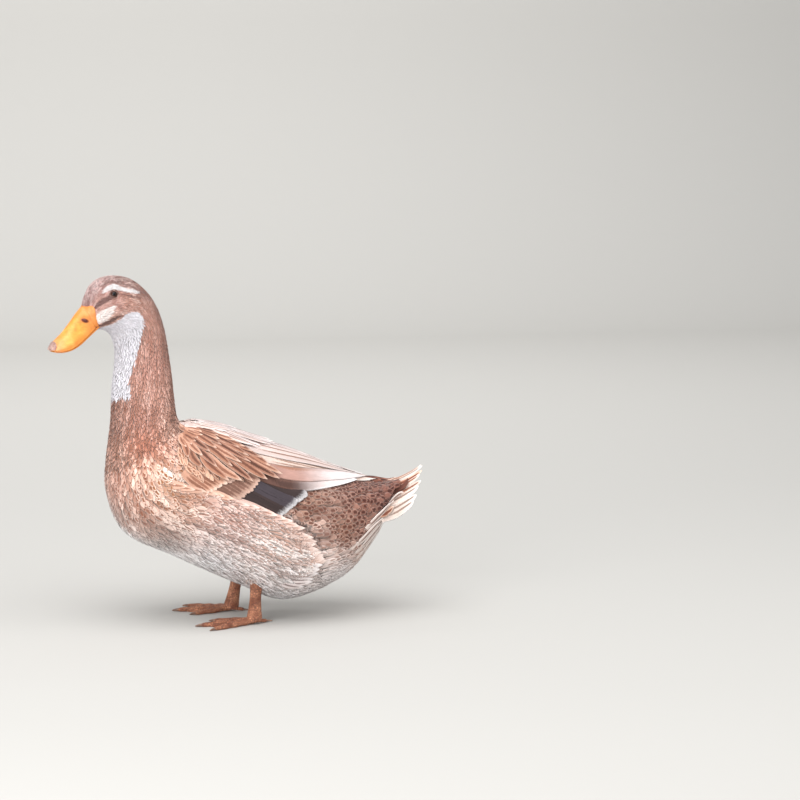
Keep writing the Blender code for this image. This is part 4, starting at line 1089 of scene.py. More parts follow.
SCAPULAR_TIERS = (
    ("last scapulars", 10, ((11.5, 56), (11.85, 47), (12.1, 37), (11.9, 30), (11.6, 24)),
     ((12.3, 71), (12.95, 63), (13.55, 52), (13.1, 42), (12.6, 34)), 5.4, "pointed", (1, 3, 0.7), SCAPULAR,
     1),
    ("third scapulars", 9, ((11, 52), (11.25, 42), (11.45, 33), (11.35, 26), (11.2, 18)),
     ((11.75, 67), (12.35, 57), (12.75, 47), (12.55, 37), (12.2, 28)), 5, "pointed", (1.4, 3.2, 0.7),
     SCAPULAR[:0:-1] + (CREAM_TAN,), 1),
    ("second scapulars", 9, ((10.6, 46), (10.8, 37), (10.9, 28), (10.8, 21), (10.7, 14)),
     ((11.25, 62), (11.75, 52), (12, 42), (11.9, 32), (11.7, 22)), 4.8, "pointed", (1.6, 3.2, 0.7),
     SCAPULAR[:-1] + (CREAM_TAN,), 1),
    ("first scapulars", 9, ((10.2, 40), (10.3, 32), (10.3, 24), (10.25, 17), (10.2, 10)),
     ((10.9, 54), (11.2, 45), (11.4, 35), (11.3, 25), (11.3, 17)), 4.4, "pointed", (1, 2.6, 0.6),
     (GOLDEN_PALE, GOLDEN, GOLDEN_PALE, CREAM_TAN), 1),
    ("back", 8, ((11.7, 21), (11.8, 14), (12, 8), (12.1, 3)),
     ((12.8, 29), (13.1, 20), (13.4, 11), (13.5, 4)), 4.6, "pointed", (1.2, 2.6, 0.6), TOP, 1),
    ("front of the back", 8, ((10.9, 20), (11, 13), (11.1, 7), (11.2, 2)),
     ((11.9, 27), (12.2, 18), (12.4, 10), (12.5, 3)), 4.4, "pointed", (1.2, 2.6, 0.6), TOP, 1),
    ("nape of the back", 8, ((9.65, 22), (9.65, 14), (9.7, 8), (9.7, 2)),
     ((10.7, 26), (10.9, 17), (11, 10), (11, 3)), 4, "pointed", (-1.6, 1.6, 0.5),
     (GOLDEN, GOLDEN_PALE, CREAM_TAN, CREAM_TAN), 1),
)

CLOSE_BARBS = "flight feather keratin, close smooth barbs"
large_feathers = feather_material(CLOSE_BARBS, 0.6 * MM, 0.05, 0.6, 0.15, 0.8, 0.45, 0.15)
wing = []
for _, *tier in WING_TIERS:
    wing += lay_tier(folded_wing, *tier)
print(len(wing), "large feathers on a wing")

# %% [markdown]
# ## Scapulars, mantle and small coverts
#
# The feathers of the shoulder are many, narrow and not quite in rows, so they are grown like the body's
# coat. Their ground is a second helper mesh, raised over the roots of the large feathers. They do not lie
# straight back: the scapulars slant down over the wing, most steeply at the shoulder, while the mantle runs
# along the back. The table has one more number for that turn. Each has a golden or cream vane, a dark wedge
# along its middle and a pale edge.

# %% The ground for the shoulder's feathers
SHOULDER_PLUMAGE = (
    # station, degrees, colours, mark's share, length mm, width mm, turn downwards in degrees
    (10.2, 6, "#c9a395 #f6ded4 #7a5245", 0.45, 24, 6.5, 3),
    (10.2, 26, "#b38576 #edc9ba #643d31", 0.52, 20, 6.5, 14),
    (10.4, 44, "#ad7d69 #ecc5b0 #5f382b", 0.54, 18, 6.5, 34),
    (10.7, 60, "#e6b89f #ffdfca #a3735b", 0.34, 13, 6, 40),
    (11.4, 70, "#d7a88f #f9d2ba #8f614c", 0.36, 14, 6, 38),
    (11.3, 56, "#e1b196 #ffdcc6 #8b5d48", 0.38, 17, 6.5, 40),
    (11.3, 8, "#efdfd7 #fffdfb #8d6a5d", 0.28, 32, 7.5, 2),
    (11.4, 17, "#e4cbc0 #fff8f4 #7f5748", 0.34, 30, 7.5, 10),
    (11.3, 29, "#c89f8c #fae2d6 #68402f", 0.46, 30, 7.5, 20),
    (11.4, 42, "#c09078 #f4d0b9 #613a2b", 0.5, 28, 8, 36),
    (12.2, 8, "#eddad2 #fffdfb #86645a", 0.3, 34, 7.5, 2),
    (12.3, 28, "#d1a893 #fbe2d5 #6a4231", 0.44, 30, 8, 16),
    (12.3, 46, "#be8d75 #f3ceb8 #5f382a", 0.5, 30, 8, 28),
    (12.3, 62, "#b98a73 #eac3ae #6a4233", 0.46, 24, 7.5, 30),
    (13, 8, "#f0e0d9 #fffefd #957468", 0.28, 32, 8, 2),
    (12.9, 48, "#c29179 #f4d1bc #643d2e", 0.5, 30, 8, 20),
)
SHOULDER_REAR = (
    # degrees, and the last station with roots
    (0, 13), (12, 12.75), (20, 12.3), (28, 11.8), (38, 11.9), (44, 12.3), (52, 12.65), (59, 12.45),
    (66, 11.9), (72, 11.75), (80, 11.6),
)
SHOULDER_LOWER = ((10.2, 52), (10.6, 61), (11.2, 72), (11.9, 78), (12.6, 66))
GOLDEN_PATCH = ((10.2, 50), (10.8, 50), (11.5, 60), (12, 68))  # the small coverts lie below this line


def shoulder(t, angle, height=0.0):
    """The folded wing's sheet, raised over the roots of the large feathers."""
    degrees = degrees_of(angle)
    rise = 0.5 + 1.9 * ease((t - 10.3) / 0.9) * ease((degrees - 1) / 9) * ease((86 - degrees) / 12)
    return folded_wing(t, np.abs(angle), rise * MM + height)


columns = np.radians(np.linspace(1.0, 92, 120))
shoulder_t, shoulder_angle = np.meshgrid(np.linspace(9.9, 14.4, 150), columns, indexing="ij")
shoulder_degrees = np.degrees(shoulder_angle)
shoulder_marks = plumage_at(shoulder_t, shoulder_angle, SHOULDER_PLUMAGE)
backwards = unit(shoulder(shoulder_t + 0.03, shoulder_angle) - shoulder(shoulder_t - 0.03, shoulder_angle))
downwards = shoulder(shoulder_t, shoulder_angle + 0.02) - shoulder(shoulder_t, shoulder_angle - 0.02)
downwards = unit(downwards - (downwards * backwards).sum(-1, keepdims=True) * backwards)
turn_down = np.radians(shoulder_marks[..., 12:13])
shoulder_cover = ease((read_off(SHOULDER_REAR, shoulder_degrees) - shoulder_t) / 0.08)
shoulder_cover *= ease((read_off(SHOULDER_LOWER, shoulder_t) - shoulder_degrees) / 3)
shoulder_cover *= ease((shoulder_t - 10.08 - 0.004 * shoulder_degrees) / 0.1)
small_covert = shoulder_degrees > read_off(GOLDEN_PATCH, shoulder_t)
shoulder_form = feather_ground(
    "shoulder_form",
    shoulder(shoulder_t, shoulder_angle),
    np.cos(turn_down) * backwards + np.sin(turn_down) * downwards,
    unwrap(shoulder_t, shoulder_angle),
    shoulder_cover,
    small_covert.astype(int),
    shoulder_marks,
    np.stack([np.full(shoulder_t.shape, 0.85), np.where(small_covert, 0.30, 0.36)], -1),
)

# %% The large scapulars and both wings gathered
for _, *tier in SCAPULAR_TIERS:
    wing += lay_tier(shoulder, *tier, loose=3)
middle = []
for row, station in enumerate(np.arange(13.0, 9.8, -0.28)):
    sway = math.radians(1.4) * dice.normal()
    path = np.array(((station, sway / 2), (station + 0.6, sway), (station + 1.25, sway / 2)))
    middle.append(lay_feather(folded_wing, path, 5.2, "pointed", -0.4, 2.6, TOP[row % 3]))
gather("feathers_back", middle, large_feathers)
gather("feathers_wing_left", wing, large_feathers, ("wing_left",))
gather("feathers_wing_right", wing, large_feathers, ("wing_right",), mirror=True)

# %% Growing the small ones on both sides
SHOULDER_COATS = {
    # region, vane, spacing, root depth, tip height, vane thickness in mm, unevenness in radians, seed
    "small_coverts": (1, round_vane, 4.4, 1.4, 0.6, 0.40, 0.30, 21),
    "scapulars": (0, long_vane, 5.8, 1.6, 0.9, 0.50, 0.13, 22),
}
for name, (region_number, *settings) in SHOULDER_COATS.items():
    piece = grow_coat(name + "_left", shoulder_form, region_number, *settings)
    other = bpy.data.objects.new("coat_" + name + "_right", piece.data.copy())
    bpy.context.collection.objects.link(other)
    other.data.transform(Matrix.Diagonal((1, -1, 1, 1)))
    other.data.flip_normals()
    finish(piece, small_feathers)
    finish(other, small_feathers)

# %% [markdown]
# ## Flank feathers over the wing's edge
#
# At rest the long flank feathers close over the lower border of the wing like the lip of a pocket, and end
# behind the leg in a rounded, pale-edged line. They lie on the plain outline, raised enough to cover the
# wing's border.

# %% The lip of the flank's pocket
FLANK_FRONT = ("#d5a893", "#f3d3c1", "#a0715c", 0.30, 0.0, 0.2, 0.4)
FLANK_MIDDLE = ("#dbb7ab", "#f8e2d9", "#a37a6c", 0.26, 0.0, 0.25, 0.4)
FLANK_REAR = ("#e0c0b4", "#f6e4dc", "#b08878", 0.22, 0.0, 0.2, 0.3)
FLANK_LOW = ("#dccfcd", "#fbf4f3", "#8d7c79", 0.26, 0.0, 0.2, 0.4)
FLANK_TIERS = (
    ("lip", 17, ((10.5, 96), (11.2, 91), (12.1, 88.5), (13, 88.5), (13.35, 93)),
     ((11.55, 87), (12.4, 84), (13.25, 82.5), (14, 86), (14.33, 98)), 5.5, "pointed", (0.2, 2.6, 0.2),
     (FLANK_FRONT, FLANK_MIDDLE, FLANK_REAR), 0),
    ("thigh", 16, ((12.95, 96), (13.2, 104), (13.35, 114), (13.3, 128)),
     ((14.2, 96), (14.43, 108), (14.5, 120), (14.2, 140)), 6.5, "long", (-0.6, 2.8, 0.15),
     (FLANK_REAR, FLANK_REAR, FLANK_LOW), 2),
)


def over_outline(t, angle, height=0.0):
    return raised(outline, *together(t, angle), height)


flank = []
for _, *tier in FLANK_TIERS:
    flank += lay_tier(over_outline, *tier, loose=2)
gather("feathers_flank_left", flank, large_feathers)
gather("feathers_flank_right", flank, large_feathers, mirror=True)

# %% [markdown]
# ## The tail
#
# A duck's short tail is a roof-shaped fan of sixteen quills. In this hen they are cream with a rusty base
# and pale edges. Rust coverts lie over their roots above, and pale ones below. The fan is a sheet as well:
# one number runs along the quills, and the other across the fan from the left edge to the right.

# %% The tail's fan and its coverts
TAIL_FAN = (
    # middle x, middle z, out to the side, down, ahead; in millimetres
    (168, 172, 43, 44, -3), (193, 168, 33, 36, 4), (216, 175.5, 37, 34, 11), (232.5, 184.5, 41, 36.5, 18),
)


def fan(line, across, height=0.0):
    line, across = together(line, across)
    middle_x, middle_z, side, down, ahead = np.moveaxis(through(TAIL_FAN, line), -1, 0) * MM
    share = np.abs(across)
    points = np.stack([middle_x - ahead * share**2, -side * across, middle_z - down * share**1.6], -1)
    if np.all(np.asarray(height) == 0):
        return points
    return points + normals(fan, line, across) * np.asarray(height)[..., None]


CREAM_QUILL = ("#cfae9c #dfc9bd", "#fbf0e8", "#8a5944", 0.28, -0.1, 0.16, 1.0)
WHITE_QUILL = ("#d2c0b6 #e2d6cf", "#fbf4f0", "#8f786c", 0.22, 0.0, 0.18, 1.0)
TAN_QUILL = ("#bb846a #e0bda9", "#f3dccd", "#7e4632", 0.36, -0.3, 0.14, 1.0)
RUST = ("#7c4836", "#b98572", "#3c1812", 0.50, 0.0, 0.16, 1.0)
PALE_UNDER = ("#d3c1b9", "#f8efea", "#7c6158", 0.3, 0.1, 0.2, 1.0)
RECTRICES = (
    # place across the fan at the root and at the tip, length along it, half width, colours
    (0.06, 0.02, 2.95, 5.5, CREAM_QUILL), (0.2, 0.1, 3.02, 5, WHITE_QUILL),
    (0.36, 0.27, 2.95, 5.5, TAN_QUILL), (0.52, 0.36, 2.75, 5.5, CREAM_QUILL),
    (0.66, 0.57, 2.95, 6, CREAM_QUILL), (0.8, 0.68, 2.82, 6.5, WHITE_QUILL),
    (0.95, 0.88, 2.9, 7, WHITE_QUILL), (1.05, 0.99, 2.72, 7.5, WHITE_QUILL),
)
UNDER_TAIL = (
    # stations and degrees of root and tip on the body
    (15.35, 106, 16.6, 97), (15.45, 113, 16.85, 103), (15.5, 122, 17, 112), (15.6, 131, 17.05, 124),
    (15.6, 140, 17.1, 138), (15.7, 152, 17.1, 152), (15.8, 166, 17.1, 166), (15, 118, 16.2, 110),
    (15.1, 128, 16.35, 122), (15.2, 139, 16.4, 135), (15.3, 152, 16.4, 150), (16.3, 110, 17.7, 104),
    (16.3, 126, 17.8, 124), (16.3, 142, 17.8, 142), (16.3, 158, 17.8, 158), (16.3, 174, 17.8, 174),
)
tail = []
for side in (1, -1):
    for root, across, reach, half_width, colours in RECTRICES:
        lift = 1.0 - 2.6 * across + 0.15 * side
        reach = reach + 0.02 * dice.normal()
        middle = 0.35 * root + 0.65 * across
        path = np.array(((0.1, side * root), (1.6, side * middle), (reach, side * across)))
        tail.append(lay_feather(fan, path, half_width, "long", lift - 1.6, lift, colours, 0.7))
    for t, degrees, tip_t, tip_degrees in UNDER_TAIL[::-1]:
        path = np.array(((t, side * math.radians(degrees)), (tip_t, side * math.radians(tip_degrees))))
        tail.append(lay_feather(over_outline, path, 4.6, "pointed", -0.6, 2.4, PALE_UNDER, 0.5))
# feathers in a row, how far it reaches across, roots and tips along the fan, colours
UPPER_COVERTS = ((15, 0.95, -0.3, 1.0, TAN_QUILL), (13, 0.85, -0.8, 0.45, RUST), (11, 0.8, -1.1, 0.1, RUST))
for count, width, root, tip, colours in UPPER_COVERTS:
    for across in np.linspace(width, -width, count):
        across = across + 0.02 * dice.normal()
        reach = tip + 0.35 - 0.35 * abs(across) + 0.07 * dice.normal()
        path = np.array(((root, across), ((root + reach) / 2, across), (reach, across * 0.93)))
        tail.append(lay_feather(fan, path, 5.0, "pointed", 0.0, 1.2, colours))
# feathers in a row, how far it reaches across, height in mm, tips along the fan
LOWER_COVERTS = ((11, 0.85, -2.6, 2.05), (9, 0.74, -6.0, 1.9), (7, 0.6, -10.0, 1.65), (5, 0.42, -14.0, 1.35))
for count, width, depth, tip in LOWER_COVERTS:
    for across in np.linspace(width, -width, count):
        path = np.array(((0.1, across), (0.9, across), (tip - 0.2 * abs(across), across * 0.95)))
        tail.append(lay_feather(fan, path, 5.5, "rounded", depth - 2.5, depth, PALE_UNDER))
gather("feathers_tail", tail, large_feathers, ("tail",))

# %% [markdown]
# ## The eyes and their lids
#
# A duck's eye is a ball of which only a small round part shows between two lids. The lids are thin, finely
# wrinkled folds of bare skin that rest on the ball, the upper one a little straighter. The ball is turned
# about the axis that the eye looks along, with the clear dome of the cornea in front, and each lid is a
# ring of sections that run from the ball's surface over a rounded rim and down under the feathers.

# %% Eyeballs and lids
EYE_RADIUS = 5.2 * MM
LID_SECTION = (
    # distance from the eye's axis, height over the ball's surface or over the face, in millimetres
    (3.75, -0.35), (3.9, 0.08), (4.15, 0.42), (4.5, 0.5), (4.9, 0.36), (5.4, 0.2), (6, -0.1), (6.7, -0.75),
    (7.2, -1.5),
)


def frame_of_eye(side):
    """The ball's centre, and the directions the eye looks in, to its rear and up."""
    low, high = (np.array(corner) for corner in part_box("eye_left" if side > 0 else "eye_right"))
    ahead = normals(outline, EYE_STATION, side * math.radians(EYE_DEGREES))
    rear = lie_of(np.array(4.5), np.array(side * math.radians(62)))
    rear = unit(rear - ahead * (rear @ ahead))
    return (low + high) / 2, ahead, rear, np.cross(rear, ahead) * (1 if side > 0 else -1)


def eyeball(name, side):
    centre, ahead, rear, up = frame_of_eye(side)
    turn = np.linspace(0, 2 * math.pi, 49)[:-1]
    polar, turn = np.meshgrid(np.linspace(0.02, math.pi - 0.02, 40), turn, indexing="ij")
    dome = 1 + 0.05 * np.exp(-((polar / 0.55) ** 4))
    flat = (EYE_RADIUS * dome * np.sin(polar))[..., None]
    points = centre + flat * (np.cos(turn)[..., None] * rear + np.sin(turn)[..., None] * up)
    points = points + (EYE_RADIUS * dome * np.cos(polar))[..., None] * ahead
    faces = [face[:: -1 if side > 0 else 1] for face in closed_faces(40, 48)]
    return mesh_object(name, points, faces, {"off_axis": (EYE_RADIUS * np.sin(polar) / MM).ravel()})


def lid_ring(name, side):
    centre, ahead, rear, up = frame_of_eye(side)
    turn = np.linspace(0, 2 * math.pi, 73)[:-1]
    section = through(LID_SECTION, np.linspace(0, len(LID_SECTION) - 1, 26))
    radius, height = section.T[..., None] * MM
    opening = 1.0 + 0.10 * np.cos(2 * (turn + 0.2)) - 0.05 * ease((np.sin(turn) - 0.2) / 0.8)
    near = ease((6.2 * MM - radius) / (2.0 * MM))
    flat = radius * (1 + (opening[None] - 1) * near)
    on_ball = np.sqrt(np.maximum(EYE_RADIUS**2 - np.minimum(flat, EYE_RADIUS * 0.98) ** 2, 0))
    around = flat[..., None] * (np.cos(turn)[None, :, None] * rear + np.sin(turn)[None, :, None] * up)
    angles = side * np.radians(np.linspace(40, 82, 90))
    patch = body(*np.meshgrid(np.linspace(2.2, 3.5, 70), angles, indexing="ij")).reshape(-1, 3) - centre
    level = patch @ ahead
    beside = patch - level[:, None] * ahead
    spots = around.reshape(-1, 3)
    face_level = np.array([level[np.argmin(((beside - spot) ** 2).sum(-1))] for spot in spots])
    wrinkle = 0.05 * MM * np.sin(turn * 36)[None] * ease((radius - 4.1 * MM) / (0.8 * MM))
    rest = on_ball * near + face_level.reshape(flat.shape) * (1 - near) + height + wrinkle
    points = centre + around + rest[..., None] * ahead
    return mesh_object(name, points, quads_of(26, 72)[:, :: 1 if side > 0 else -1])


eye_material, tree, shader = new_material("eye, wet dark brown iris under a clear cornea")
off_axis = add(tree, "Attribute", out="Fac", attribute_name="off_axis")
place = add(tree, "TexCoord", out="Object")
fibres = add(tree, "TexNoise", {"Vector": place, "Scale": 1600.0, "Detail": 2.0})
iris = add(tree, "Mix", {0: fibres, 6: paint("#2a1510"), 7: paint("#4a281b")}, **RGBA)
pupil = add(tree, "MapRange", (off_axis, 2.3, 2.55))
colour = add(tree, "Mix", {0: pupil, 6: paint("#050404"), 7: iris}, **RGBA)
add(tree, shader, {"Base Color": colour, "Roughness": 0.12, "Specular IOR Level": 0.25})
CORNEA_IOR = 1.376
add(tree, shader, {"IOR": CORNEA_IOR, "Coat Weight": 0.25, "Coat Roughness": 0.02})

lid_material, tree, shader = new_material("eyelid skin, thin and finely wrinkled")
place = add(tree, "TexCoord", out="Object")
folds = add(tree, "TexVoronoi", {"Vector": place, "Scale": 1800.0}, feature="F1")
colour = add(tree, "Mix", {0: folds, 6: paint("#4a332d"), 7: paint("#856459")}, **RGBA)
bump = add(tree, "Bump", {"Height": folds, "Strength": 0.4, "Distance": 0.0002})
add(tree, shader, {"Base Color": colour, "Normal": bump, "Roughness": 0.55})

for name, side in (("left", 1), ("right", -1)):
    finish(eyeball("eyeball_" + name, side), eye_material, ("eye_" + name,))
    lids = lid_ring("eyelids_" + name, side)
    wall = lids.modifiers.new("wall", "SOLIDIFY")
    wall.thickness, wall.offset = 0.25 * MM, -1.0
    finish(lids, lid_material)

# %% [markdown]
# ## The bill
#
# The bill is a horny spatula under soft skin: high at the face, flat and wide at the tip, with a
# slit-shaped nostril on each side, a hard nail at the tip and a fine lip along the biting edge. The upper
# bill is a loft of arches through eight measured sections, and the nostrils, lip and nail are relief on it,
# measured from named places. The lower bill is a shallow trough that closes up inside the upper one.

# %% The bill's sections and relief
BILL_SECTIONS = (
    # ridge x, ridge z, edge x, edge z, half width; in millimetres, before the head is turned
    (-195.5, 394.6, -181.5, 369, 12.8), (-203, 386, -192.5, 359.5, 12.2), (-211.5, 375, -202, 351.5, 12.7),
    (-221, 363.5, -213, 345.5, 14.2), (-229.5, 355.5, -224, 342.8, 14.8),
    (-234.6, 349.8, -232, 342.6, 12.3), (-236.6, 346.2, -236.2, 343.3, 7.5),
    (-237.2, 344.8, -237.2, 343.9, 1),
)
NOSTRIL = np.array((-195.6, -10.5, 378.2)) * MM
NOSTRIL_AXIS = np.array((-0.88, 0.37, 0.30))
NOSTRIL_LENGTH, NOSTRIL_HEIGHT = 7.5 * MM, 3.6 * MM
BILL_SLOPE = math.radians(48)


def bill_arch(s, angle):
    """Points on the smooth upper bill at section s, from -90 degrees at one edge over the ridge."""
    s, angle = together(s, angle)
    ridge_x, ridge_z, edge_x, edge_z, half_width = np.moveaxis(through(BILL_SECTIONS, s), -1, 0) * MM
    rise = np.cos(angle)
    y = -half_width * np.sign(np.sin(angle)) * np.abs(np.sin(angle)) ** 0.8
    return np.stack([edge_x + (ridge_x - edge_x) * rise, y, edge_z + (ridge_z - edge_z) * rise], -1)


def in_nostril(points):
    """0 in the middle of a nostril and 1 at its rim, growing outwards."""
    nearest = np.full(points.shape[:-1], np.inf)
    for side in (1, -1):
        away = points - NOSTRIL * (1, side, 1)
        axis = NOSTRIL_AXIS * (1, side, 1)
        lengthwise = away @ axis
        across = np.linalg.norm(away - lengthwise[..., None] * axis, axis=-1)
        ring = np.hypot(2 * lengthwise / NOSTRIL_LENGTH, 2 * across / NOSTRIL_HEIGHT)
        nearest = np.minimum(nearest, ring)
    return nearest


def bill_relief(points, s, angle):
    """The height of nostrils, lip and ridge over the smooth bill."""
    ring = in_nostril(points)
    height = 0.30 * MM * np.exp(-(((ring - 1.5) / 0.4) ** 2)) - 2.0 * MM * ease((1.3 - ring) / 0.7)
    edge = np.abs(angle) / (math.pi / 2)
    height += 0.40 * MM * np.exp(-(((edge - 0.97) / 0.05) ** 2)) * ease((6.2 - s) / 1.5)
    height -= 0.35 * MM * np.exp(-(((edge - 0.83) / 0.07) ** 2)) * ease((5.6 - s) / 1.5)
    return height + 0.25 * MM * np.exp(-((angle / 0.25) ** 2)) * ease((3.5 - s) / 2)

# %% [markdown]
# Behind the bill's first section its skin goes on over the face to the edge of the feathers, which runs
# forwards on the forehead and backwards to a point beside the eye's line. Those rows follow the form of the
# head, so that bill and face pass into each other without a step.

# %% The upper bill
ARCH_COLUMNS = 97
arch_angle = np.linspace(-math.pi / 2, math.pi / 2, ARCH_COLUMNS)
ARCH_EDGE, ARCH_RISE = 369, 25.6  # the first arch's edge, and its rise over it, in millimetres
FACE_MIDDLE, FACE_HALF = 379, 15  # the first station's middle and half height, in millimetres
level = np.clip((ARCH_EDGE + ARCH_RISE * np.cos(arch_angle) - FACE_MIDDLE) / FACE_HALF, -1, 1)
face_angle = np.arccos(level) * np.sign(arch_angle)
share = np.linspace(1.0, 0.0, 26)[:-1, None]
face_t = bill_rear(face_angle)[None] * share
sunk = np.where(share > 0.99, -1.8, np.where(share > 0.93, -0.2, 0.35)) * MM
on_face = body(face_t, np.broadcast_to(face_angle, face_t.shape), sunk)
s, angle = np.meshgrid(np.linspace(0.06, 6.98, 130), arch_angle, indexing="ij")
arch = bill_arch(s, angle)
outwards = normals(bill_arch, np.clip(s, 0.02, 6.9), np.clip(angle, -1.5, 1.5))
relief = bill_relief(arch, s, angle) + 0.2 * MM * ease((1.2 - s) / 1.2)
shell = np.concatenate([on_face, turn_head(arch + outwards * relief[..., None])])
across = np.linspace(0, 1, 10)[1:-1]
palate = shell[:, -1:] * (1 - across[None, :, None]) + shell[:, :1] * across[None, :, None]
hollow = 0.8 * MM * np.sin(math.pi * across)
palate = palate + hollow[None, :, None] * np.array((-0.55, 0.0, 0.83))
down_bill = np.concatenate([np.repeat(-share, ARCH_COLUMNS, 1), s])
near_edge = np.broadcast_to(np.abs(arch_angle) / (math.pi / 2), down_bill.shape)
pit = np.concatenate([np.full(face_t.shape, 9.0), in_nostril(bill_arch(s, angle))])
numbers = {"down_bill": (down_bill, 3.0), "near_edge": (near_edge, 1.0), "pit": (pit, 9.0)}
for key, (values, inner) in numbers.items():
    numbers[key] = np.concatenate([values, np.full((len(values), len(across)), inner)], 1).ravel()
upper_bill = closed_loft("bill_upper", np.concatenate([shell, palate], 1), numbers)

# %% [markdown]
# The lower bill is a shallow trough, a millimetre narrower than the upper one, which closes over it. A fold
# of skin runs along its middle.

# %% The lower bill
def lower_jaw(rows):
    rings = []
    down = np.array((0.55, 0.0, -0.83))
    for s in rows:
        _, _, edge_x, edge_z, half_width = through(BILL_SECTIONS, np.array(s)) * MM
        half = half_width - 1.4 * MM
        arc = np.linspace(-math.pi / 2, math.pi / 2, 33)
        depth = 0.22 + 0.78 * np.cos(arc) ** 0.8 - 0.10 * np.exp(-((arc / 0.25) ** 2))
        trough = 0.5 * MM + 4.2 * MM * (1 - 0.62 * s / 6) * depth
        lip = 0.5 * MM * (np.abs(arc) > 1.35)
        jaw = np.stack([np.full(33, edge_x), -(half + lip * 0.4) * np.sin(arc), np.full(33, edge_z)], -1)
        level = np.stack([np.full(8, edge_x), np.linspace(half, -half, 10)[1:-1], np.full(8, edge_z)], -1)
        rings.append(np.concatenate([jaw + trough[:, None] * down, (level + down * 0.5 * MM)[::-1]]))
    return turn_head(np.array(rings))


jaw_rows = np.linspace(-0.3, 5.75, 60)
jaw = lower_jaw(jaw_rows)
ones = np.ones(jaw.shape[:2])
numbers = {"down_bill": jaw_rows[:, None] * ones, "near_edge": ones, "pit": 9.0 * ones}
lower_bill = closed_loft("bill_lower", jaw, {key: values.ravel() for key, values in numbers.items()})

# %% [markdown]
# The nail is a shield of hard horn set into the tip. It is cut from the same arch, a fraction of a
# millimetre higher, inside a rounded outline that widens to the tip.

# %% The nail
nail_s, nail_angle = np.meshgrid(np.linspace(0, 1, 30), np.linspace(-1, 1, 41), indexing="ij")
first = 4.35 + 1.0 * np.abs(nail_angle) ** 2.2
s = first + (6.99 - first) * nail_s
angle = nail_angle * np.radians(74)
lifted = normals(bill_arch, np.clip(s, 0.02, 6.9), np.clip(angle, -1.5, 1.5))
rim = np.minimum(1 - np.abs(nail_angle), nail_s)
top = bill_arch(s, angle) + lifted * (0.45 * MM * ease(rim / 0.16))[..., None]
base = top - lifted * 0.9 * MM
nail = closed_loft("bill_nail_horn", turn_head(np.concatenate([top, base[:, ::-1]], 1)))

# %% [markdown]
# A bill is living horn: waxy, a little translucent, amber with paler and more orange clouds, and a deeper
# orange towards its biting edge. The clouds are about 8 mm across, and fine lengthwise grain of 0.4 mm lies
# in the bump. The nail is harder, darker and pinkish.

# %% Horn materials
UNDER_SKIN = (0.002, 0.0012, 0.0006)  # how far light travels in it


def horn(name, hues, cloud_mm, grain_mm, rough, under=0.08):
    """Clouded, grained horn, as its material and the socket of its colour."""
    material, tree, shader = new_material(name)
    place = add(tree, "TexCoord", out="Object")
    spots = {"Vector": place, "Scale": 1000 / cloud_mm, "Detail": 3.0, "Roughness": 0.55}
    ramp = add(tree, "ValToRGB", (add(tree, "TexNoise", spots),), None)
    set_ramp(ramp, ((0.32, hues[0]), (0.5, hues[1]), (0.68, hues[2])))
    along_bill = {"Vector": place, "Rotation": (0, BILL_SLOPE, 0), "Scale": (0.25, 1, 1)}
    stretched = add(tree, "Mapping", along_bill)
    fine = {"Vector": stretched, "Scale": 1000 / grain_mm / 2, "Detail": 2.0}
    grain = add(tree, "TexNoise", fine)
    speck = add(tree, "MapRange", (grain, 0.35, 0.75, 0.88, 1.05))
    grey = add(tree, "CombineColor", (speck, speck, speck))
    tinted = add(tree, "Mix", {0: 1.0, 6: ramp.outputs[0], 7: grey}, **TINT)
    bump = add(tree, "Bump", {"Height": grain, "Strength": 0.25, "Distance": 0.00015})
    surface = {"Base Color": tinted, "Normal": bump, "Roughness": rough, "IOR": 1.54}
    surface |= {"Subsurface Weight": under, "Subsurface Radius": UNDER_SKIN}
    add(tree, shader, surface)
    return material, tree, shader, tinted


def set_ramp(ramp, stops):
    """Give a colour ramp its stops, each a place and a hex colour."""
    elements = ramp.color_ramp.elements
    elements[0].position, elements[-1].position = stops[0][0], stops[-1][0]
    for place, _ in stops[1:-1]:
        elements.new(place)
    for element, (_, code) in zip(elements, stops):
        element.color = paint(code)


AMBER = ("#e39557", "#efa867", "#f6bb80")
bill_horn, tree, shader, clouded = horn("bill, waxy amber horn", AMBER, 9, 0.5, 0.42)
read = {}
for name in ("down_bill", "near_edge", "pit"):
    read[name] = add(tree, "Attribute", out="Fac", attribute_name=name)
down = add(tree, "MapRange", (read["down_bill"], -1.0, 6.0))
lengthwise = add(tree, "ValToRGB", (down,), None)
BILL_STOPS = (
    (0.0, "#ead0a0"), (0.14, "#f2dcb8"), (0.24, "#f4e0b0"), (0.36, "#fff0a4"), (0.62, "#fff4b8"),
    (0.82, "#fff8ff"), (1.0, "#fffafa"),
)
set_ramp(lengthwise, BILL_STOPS)
colour = add(tree, "Mix", {0: 1.0, 6: clouded, 7: lengthwise.outputs[0]}, **TINT)
rimmed = add(tree, "MapRange", (read["near_edge"], 0.72, 1.0, 0.0, 0.55))
colour = add(tree, "Mix", {0: rimmed, 6: colour, 7: paint("#d98534")}, **RGBA)
# Inside each nostril the bill is painted a dark red-brown: painted shade for the depth of the opening.
inside = add(tree, "MapRange", (read["pit"], 1.7, 0.9))
colour = add(tree, "Mix", {0: inside, 6: colour, 7: paint("#571c16")}, **RGBA)
add(tree, shader, {"Base Color": colour})
PINKISH = ("#8b6259", "#b08a80", "#d4b1a5")
nail_horn = horn("bill nail, hard pinkish horn", PINKISH, 5, 0.4, 0.35)[0]
finish(upper_bill, bill_horn, ("upper_bill",))
finish(lower_bill, bill_horn, ("lower_bill",))
finish(nail, nail_horn, ("bill_nail",))

